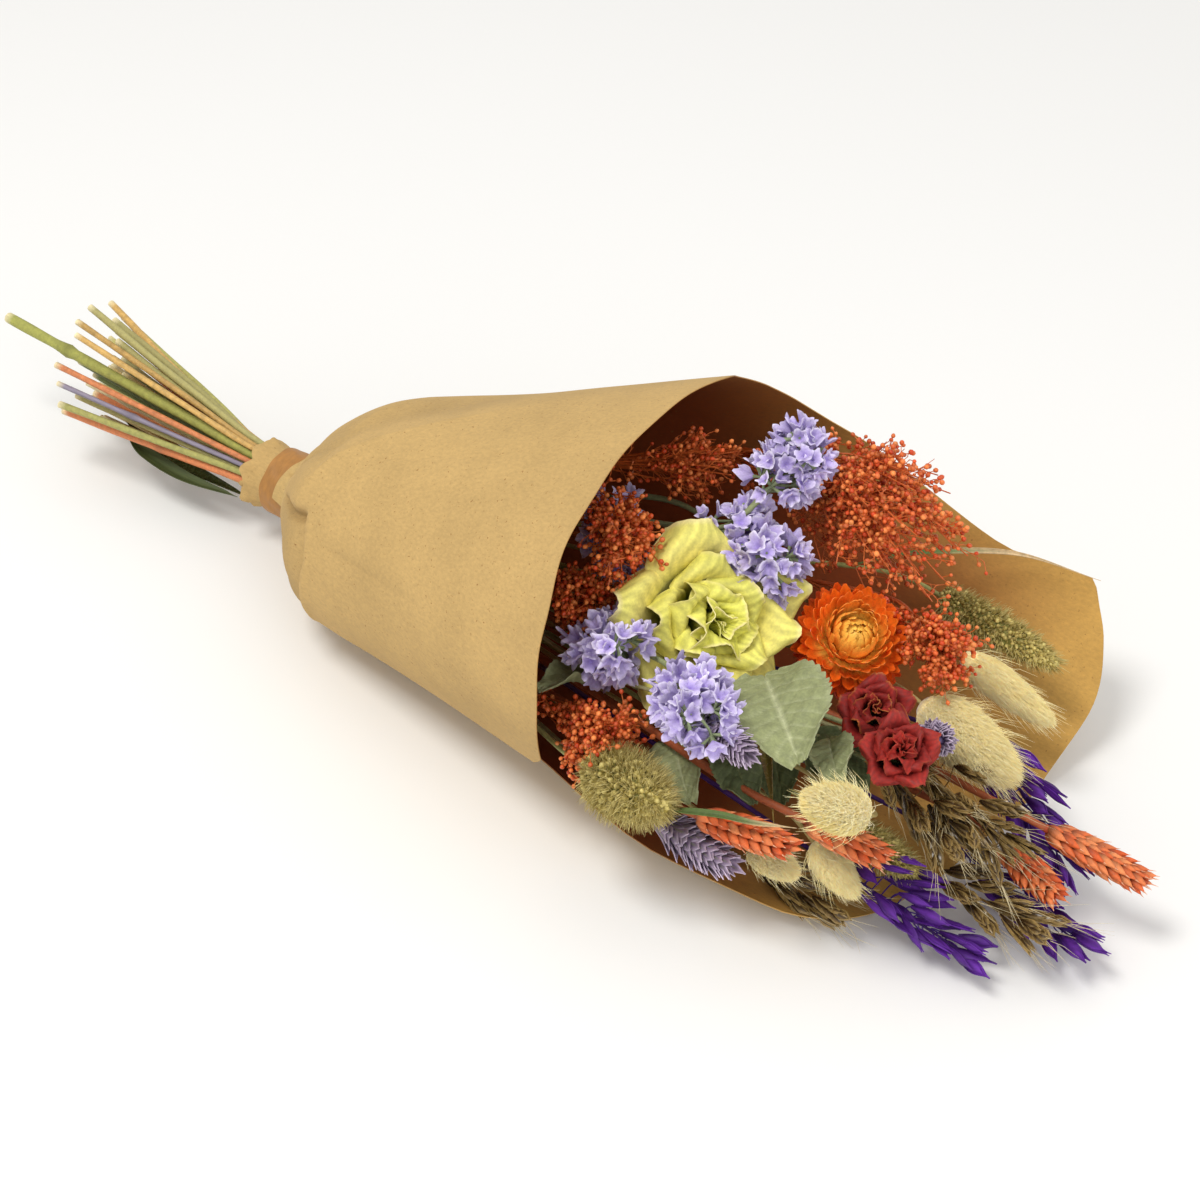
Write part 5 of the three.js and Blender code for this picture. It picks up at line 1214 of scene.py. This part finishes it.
def statice(name, clusters, per_cluster):
    """A branched spray whose branches end in close, uneven clusters of papery funnels."""
    head = Head(name)
    random, shape, length = head.random, head.shape, head.length
    green = colour("84906a")
    add_stem(shape, name, "a8a066", "8c9468")
    head.spine(0.8, (1.0, 0.7), green, 6)
    kinds = [floret(random) for _ in range(10)]
    for i in range(clusters):
        share = mix(0.0, 0.88, i / clusters)
        joint = head.at([0, 0, share * length])
        reach = (head.wide - 2.5) * mix(0.85, 0.55, share) * random.uniform(0.5, 1.15)
        end = head.round(reach, i * GOLDEN_ANGLE, share * length + reach * 0.75)
        bend = (joint + end) / 2 + random.normal(0, 0.5, 3)
        shape.add_tube(curve_through([joint, bend, end], 7), np.linspace(0.65, 0.45, 7), green, 6)
        axes = basis(end - joint)[0]
        grown = random.integers(max(per_cluster - 3, 2), per_cluster + 1)
        for k in range(grown):
            ring = k / max(grown - 1, 1)
            tilt, turn = 1.25 * math.sqrt(ring), k * GOLDEN_ANGLE
            outwards = np.array([math.cos(turn), math.sin(turn), 0])
            upright = outwards * math.sin(tilt) + [0, 0, math.cos(tilt)]
            direction = unit(axes @ upright + random.normal(0, 0.2, 3))
            root = end + axes @ outwards * 2.4 * math.sqrt(ring)
            size = random.uniform(0.75, 1.15)
            # The calyx is a slim fuzzy cup under each floret.
            calyx = [root + direction * distance for distance in (-1.5, 1.5, 3.2)]
            shape.add_tube(calyx, [0.35, 0.7, 0.9], green * 1.1, 6)
            base, shares, folds = kinds[random.integers(len(kinds))]
            tints = blend("ae9bd8", "cdc0ea", shares ** 0.6)
            # Painted shade in the folds of the crumpled lobes.
            tints = blend(tints, "8167b4", folds ** 2 * 0.6)
            tints = blend(tints, "efe9fb", smooth(0.75, 1.0, shares) * random.uniform(0.25, 0.9))
            tints = tints * random.uniform(0.85, 1.08)
            axes_of_floret = basis(direction, random.uniform(0, 6))
            scale = np.array([[3.5, 3.5, 4.3]]) * size
            shape.add(*copies(base, [root + direction * 1.8], axes_of_floret, scale), tints)
    piece(f"{name}_spray", shape, "lilac_statice", 80, name)


def broom(name, branches, twigs, balls, stem_tint="c29c58", sag=0.0):
    """Arching threads that branch into fine twigs, each ending in a round seed."""
    head = Head(name)
    random, wide, length = head.random, head.wide, head.length
    add_stem(head.shape, name, stem_tint, "b8521e")
    head.spine(0.6, (0.9, 0.45), "b8521e", 6)
    stem = stem_curve(name)
    threads, seeds, seed_axes, seed_sizes, stalks = [], [], [], [], []
    for i in range(branches):
        # The first branches leave the stem before the head.
        share = mix(-0.25, 0.5, i / branches)
        angle = i * GOLDEN_ANGLE + random.uniform(-0.3, 0.3)
        foot = max(share, 0) * length
        joint = stem[int(len(stem) * (1 + share * 0.5)) - 2] if share < 0 else head.at([0, 0, foot])
        along = random.uniform(0.34, 1.0)
        reach = wide * math.sqrt(random.uniform(0.08, 1.0)) * half_wave(mix(0.26, 0.73, along))
        climb = max(along * length * 0.94, foot + 3)
        end = head.round(reach, angle, climb) - np.array([0, 0, 0.14 * reach + sag * along ** 2])
        out = head.round(reach * 0.6, angle, mix(foot, climb, 0.62))
        path = curve_through([joint, mix(joint, out, 0.55) + random.normal(0, 0.9, 3), out, end], 14)
        threads.append(path)
        for j in range(twigs):
            root = path[int(mix(0.4, 1.0, (j + 0.5) / twigs) * 13)]
            away = head.round(1.0, angle + random.normal(0, 1.2), 0.0) - head.origin
            heading = away * 0.6 + head.axes[:, 2] * random.uniform(0.6, 1.7) + random.normal(0, 0.25, 3)
            heading = unit(heading)
            twig = random.uniform(0.24, 0.52) * min(wide, 22) * heading
            bend = root + twig * 0.5 + random.normal(0, 0.6, 3)
            twig_path = curve_through([root, bend, root + twig], 5)
            stalks.append(twig_path)
            for _ in range(balls):
                start = twig_path[random.integers(1, 5)]
                pointing = unit(heading + random.normal(0, 0.7, 3))
                tip = start + pointing * random.uniform(1.8, 4.8)
                bend = (start + tip) / 2 + random.normal(0, 0.2, 3)
                stalks.append(curve_through([start, bend, tip], 5))
                seeds.append(tip)
                seed_axes.append(pointing)
                seed_sizes.append(random.uniform(0.68, 1.08))
    head.shape.add_strands(threads, np.linspace(0.4, 0.24, 14)[None], "c9622a", 5)
    head.shape.add_strands(stalks, np.linspace(0.21, 0.15, 5)[None], "d06a30")
    n = len(seeds)
    tints = head.shades("c8400f", "f6924a", n, 1.4) * random.uniform(0.75, 1.1, n)[:, None]
    head.shape.add_copies(BALL, np.array(seeds), basis(np.array(seed_axes)), tints, np.array(seed_sizes))
    piece(f"{name}_spray", head.shape, "orange_broom", 80, name)


# ---------------------------------------------------------------- the bouquet


def blooms():
    roses()
    strawflower()
    for k, hairs in enumerate((10500, 7500, 6500, 4600, 4200), 1):
        bunny_tail(f"bunny_tail_{k}", hairs)
    for k in (1, 2, 3):
        canary_grass(f"canary_grass_{k}")
    for k, (clusters, per_cluster) in enumerate(((13, 8), (18, 8), (10, 8), (11, 9), (8, 7)), 1):
        statice(f"statice_{k}", clusters, per_cluster)
    broom("broom_1", 64, 9, 3, sag=9)
    broom("broom_2", 42, 7, 1)
    for k in (3, 4, 5, 6):
        broom(f"broom_{k}", 22, 8, 4, stem_tint="cf8050" if k in (4, 5) else "c29c58")


def grasses():
    for k, seeds, bristles in ((1, 700, 1600), (2, 900, 2600), (3, 480, 800)):
        name = f"foxtail_{k}"
        shape = foxtail(name, seeds, bristles)
        if k == 1:
            add_ribbon(shape, [stem_at(name, 232), (262, 77, 62), (288, 90, 65), (318, 99, 61)], 1.1,
                       "6f8a4c", "cbb187", 0.52, 1.4)
        piece(f"{name}_head", shape, "foxtail_seed", 70, name)
    for k in (1, 2, 3, 4):
        name = f"wheat_{k}"
        shape = wheat(name)
        if k == 1:
            add_ribbon(shape, [stem_at(name, 258), (272, -92, 55), (292, -89, 60), (309, -81, 60)], 1.4,
                       "566a34", "cbb187", 0.85, 0.6)
        piece(f"{name}_ear", shape, "painted_wheat", 70, name)
    oat("oat_1", 38, 8.0, -0.2, 7)
    oat("oat_2", 34, 8.0)
    oat("oat_3", 34, 7.0, -0.3, 8)
    brome("brome_1", 15, rise=7, spread=5.5, start=-0.3)
    brome("brome_2", 14, rise=6, spread=5.5, start=-0.3)
    brome("brome_3", 10)
    brome("brome_4", 10)


def stems():
    """The stems that are nodes of their own, with their leaves."""
    green, pale, dark = colour("8f9568"), colour("c2c69e"), colour("57613c")
    rose_joint, red_joint = ROUTES["rose"][-2], ROUTES["red_rose_1"][-2]
    big_joint = np.array(HEADS["leaf_spray"][0], float)

    def low(x):
        return stem_at("red_rose_2", x)

    # Base, tip, half width, roll, colours, where the stalk starts, and seed.
    leaves = {
        "rose": [((236, -50, 44), (262, -75, 42), 10, 0.4, green, pale, rose_joint, "leaf_a"),
                 ((204, -44, 50), (196, -74, 58), 9, 0.2, green, pale, rose_joint, "leaf_b")],
        "red_rose_1": [((290, -34, 58), (312, -62, 68), 8, 0.3, green * 0.9, pale, red_joint, "leaf_c")],
        "leaf_spray": [((263, -35, 73), (301, -69, 75), 19, 0.25, green, pale, big_joint, "leaf_d")],
        # The leaves low under the red roses are a darker green: partly their own colour, partly painted
        # shade where the heads shadow them.
        "red_rose_2": [(low(258), (286, -54, 40), 9, 0.3, dark, green, None, "leaf_e"),
                       (low(276), (306, -34, 44), 8, -0.2, dark * 1.1, green, None, "leaf_f"),
                       ((262, -56, 57), (285, -71, 51), 8, 0.3, dark * 0.9, green, low(245), "leaf_g"),
                       (low(280), (309, -53, 45), 7, 0.1, dark, green, None, "leaf_h")],
    }
    for name, tint, joints in (("rose", "9a9a4e", (-118,)), ("red_rose_1", "6f7a48", ()),
                               ("leaf_spray", "6b7650", ()), ("red_rose_2", "8a8a58", ())):
        shape = Shape()
        add_stem(shape, name, tint, green, joints=joints)
        for leaf in leaves[name]:
            add_leaf(shape, *leaf)
        piece(f"{name}_green", shape, "green_leaf", 50, node_of(name))
    straws = [("strawflower", "c9a05c", "a7a25c", ())]
    for k, tint in enumerate(("b9b26a", "c2a566", "a9a464", "d8c79a", "cdbb8c"), 1):
        straws.append((f"bunny_tail_{k}", tint, "b7a468", (-80,)))
    for k, tint in enumerate(("b4a878", "938a9c", "9d9560"), 1):
        straws.append((f"canary_grass_{k}", tint, "a9a274", (-70,)))
    for name, tint, end_tint, joints in straws:
        shape = Shape()
        add_stem(shape, name, tint, end_tint, joints=joints)
        bladed = name == "canary_grass_1"
        if bladed:
            # A dark blade lies under the stems behind the tie.
            points = [stem_at(name, -80), (-64, -12, 19), (-42, -13, 17), (-14, -10, 18)]
            add_ribbon(shape, points, 3.6, "47532a", "47532a", 0.9)
        piece(f"{name}_green" if bladed else f"{name}_stalk", shape, "straw_stem", 50, node_of(name))


paper_wrap()
neck_tape()
blooms()
grasses()
stems()

# ---------------------------------------------------------------- floor, light and camera


def link_object(name, data, place):
    obj = bpy.data.objects.new(name, data)
    bpy.context.scene.collection.objects.link(obj)
    obj.location = place
    return obj


def look_at(obj, target):
    direction = Vector(target) - obj.location
    obj.rotation_euler = direction.to_track_quat("-Z", "Y").to_euler()


def floor():
    mesh = bpy.data.meshes.new("floor")
    half = 6.0
    corners = [(-half, -half, 0), (half, -half, 0), (half, half, 0), (-half, half, 0)]
    mesh.from_pydata(corners, [], [(0, 1, 2, 3)])
    material = bpy.data.materials.new("floor")
    material.use_nodes = True
    shader = material.node_tree.nodes["Principled BSDF"]
    shader.inputs["Base Color"].default_value = (0.86, 0.86, 0.855, 1)
    shader.inputs["Roughness"].default_value = 0.7
    mesh.materials.append(material)
    obj = link_object("floor", mesh, (0, 0, -0.0002))


def area_light(name, place, target, size, power, tint=(1, 1, 1)):
    light = bpy.data.lights.new(name, "AREA")
    light.shape = "DISK"
    light.size = size
    light.energy = power
    light.color = tint
    look_at(link_object(name, light, place), target)


def lights():
    world = bpy.data.worlds.new("studio")
    bpy.context.scene.world = world
    world.use_nodes = True
    background = world.node_tree.nodes["Background"]
    background.inputs["Color"].default_value = (1.0, 0.99, 0.97, 1)
    background.inputs["Strength"].default_value = 0.7
    area_light("key", (-0.15, -0.85, 1.95), (0.05, 0, 0.05), 0.8, 23.5, (1, 0.98, 0.94))
    area_light("fill", (1.5, -0.6, 0.9), (0.1, 0, 0.05), 1.2, 8)


def camera():
    """The camera that was fitted to the photograph, placed in the bouquet's own frame."""
    data = bpy.data.cameras.new("camera")
    data.lens = 85
    data.sensor_width = 36
    data.clip_end = 30
    obj = link_object("camera", data, np.array([689.4, -671.4, 659.5]) * MM + ORIGIN)
    look_at(obj, np.array([162.4, 3.1, 37.7]) * MM + ORIGIN)
    bpy.context.scene.camera = obj


floor()
lights()
camera()
bpy.context.scene.view_settings.view_transform = "Standard"
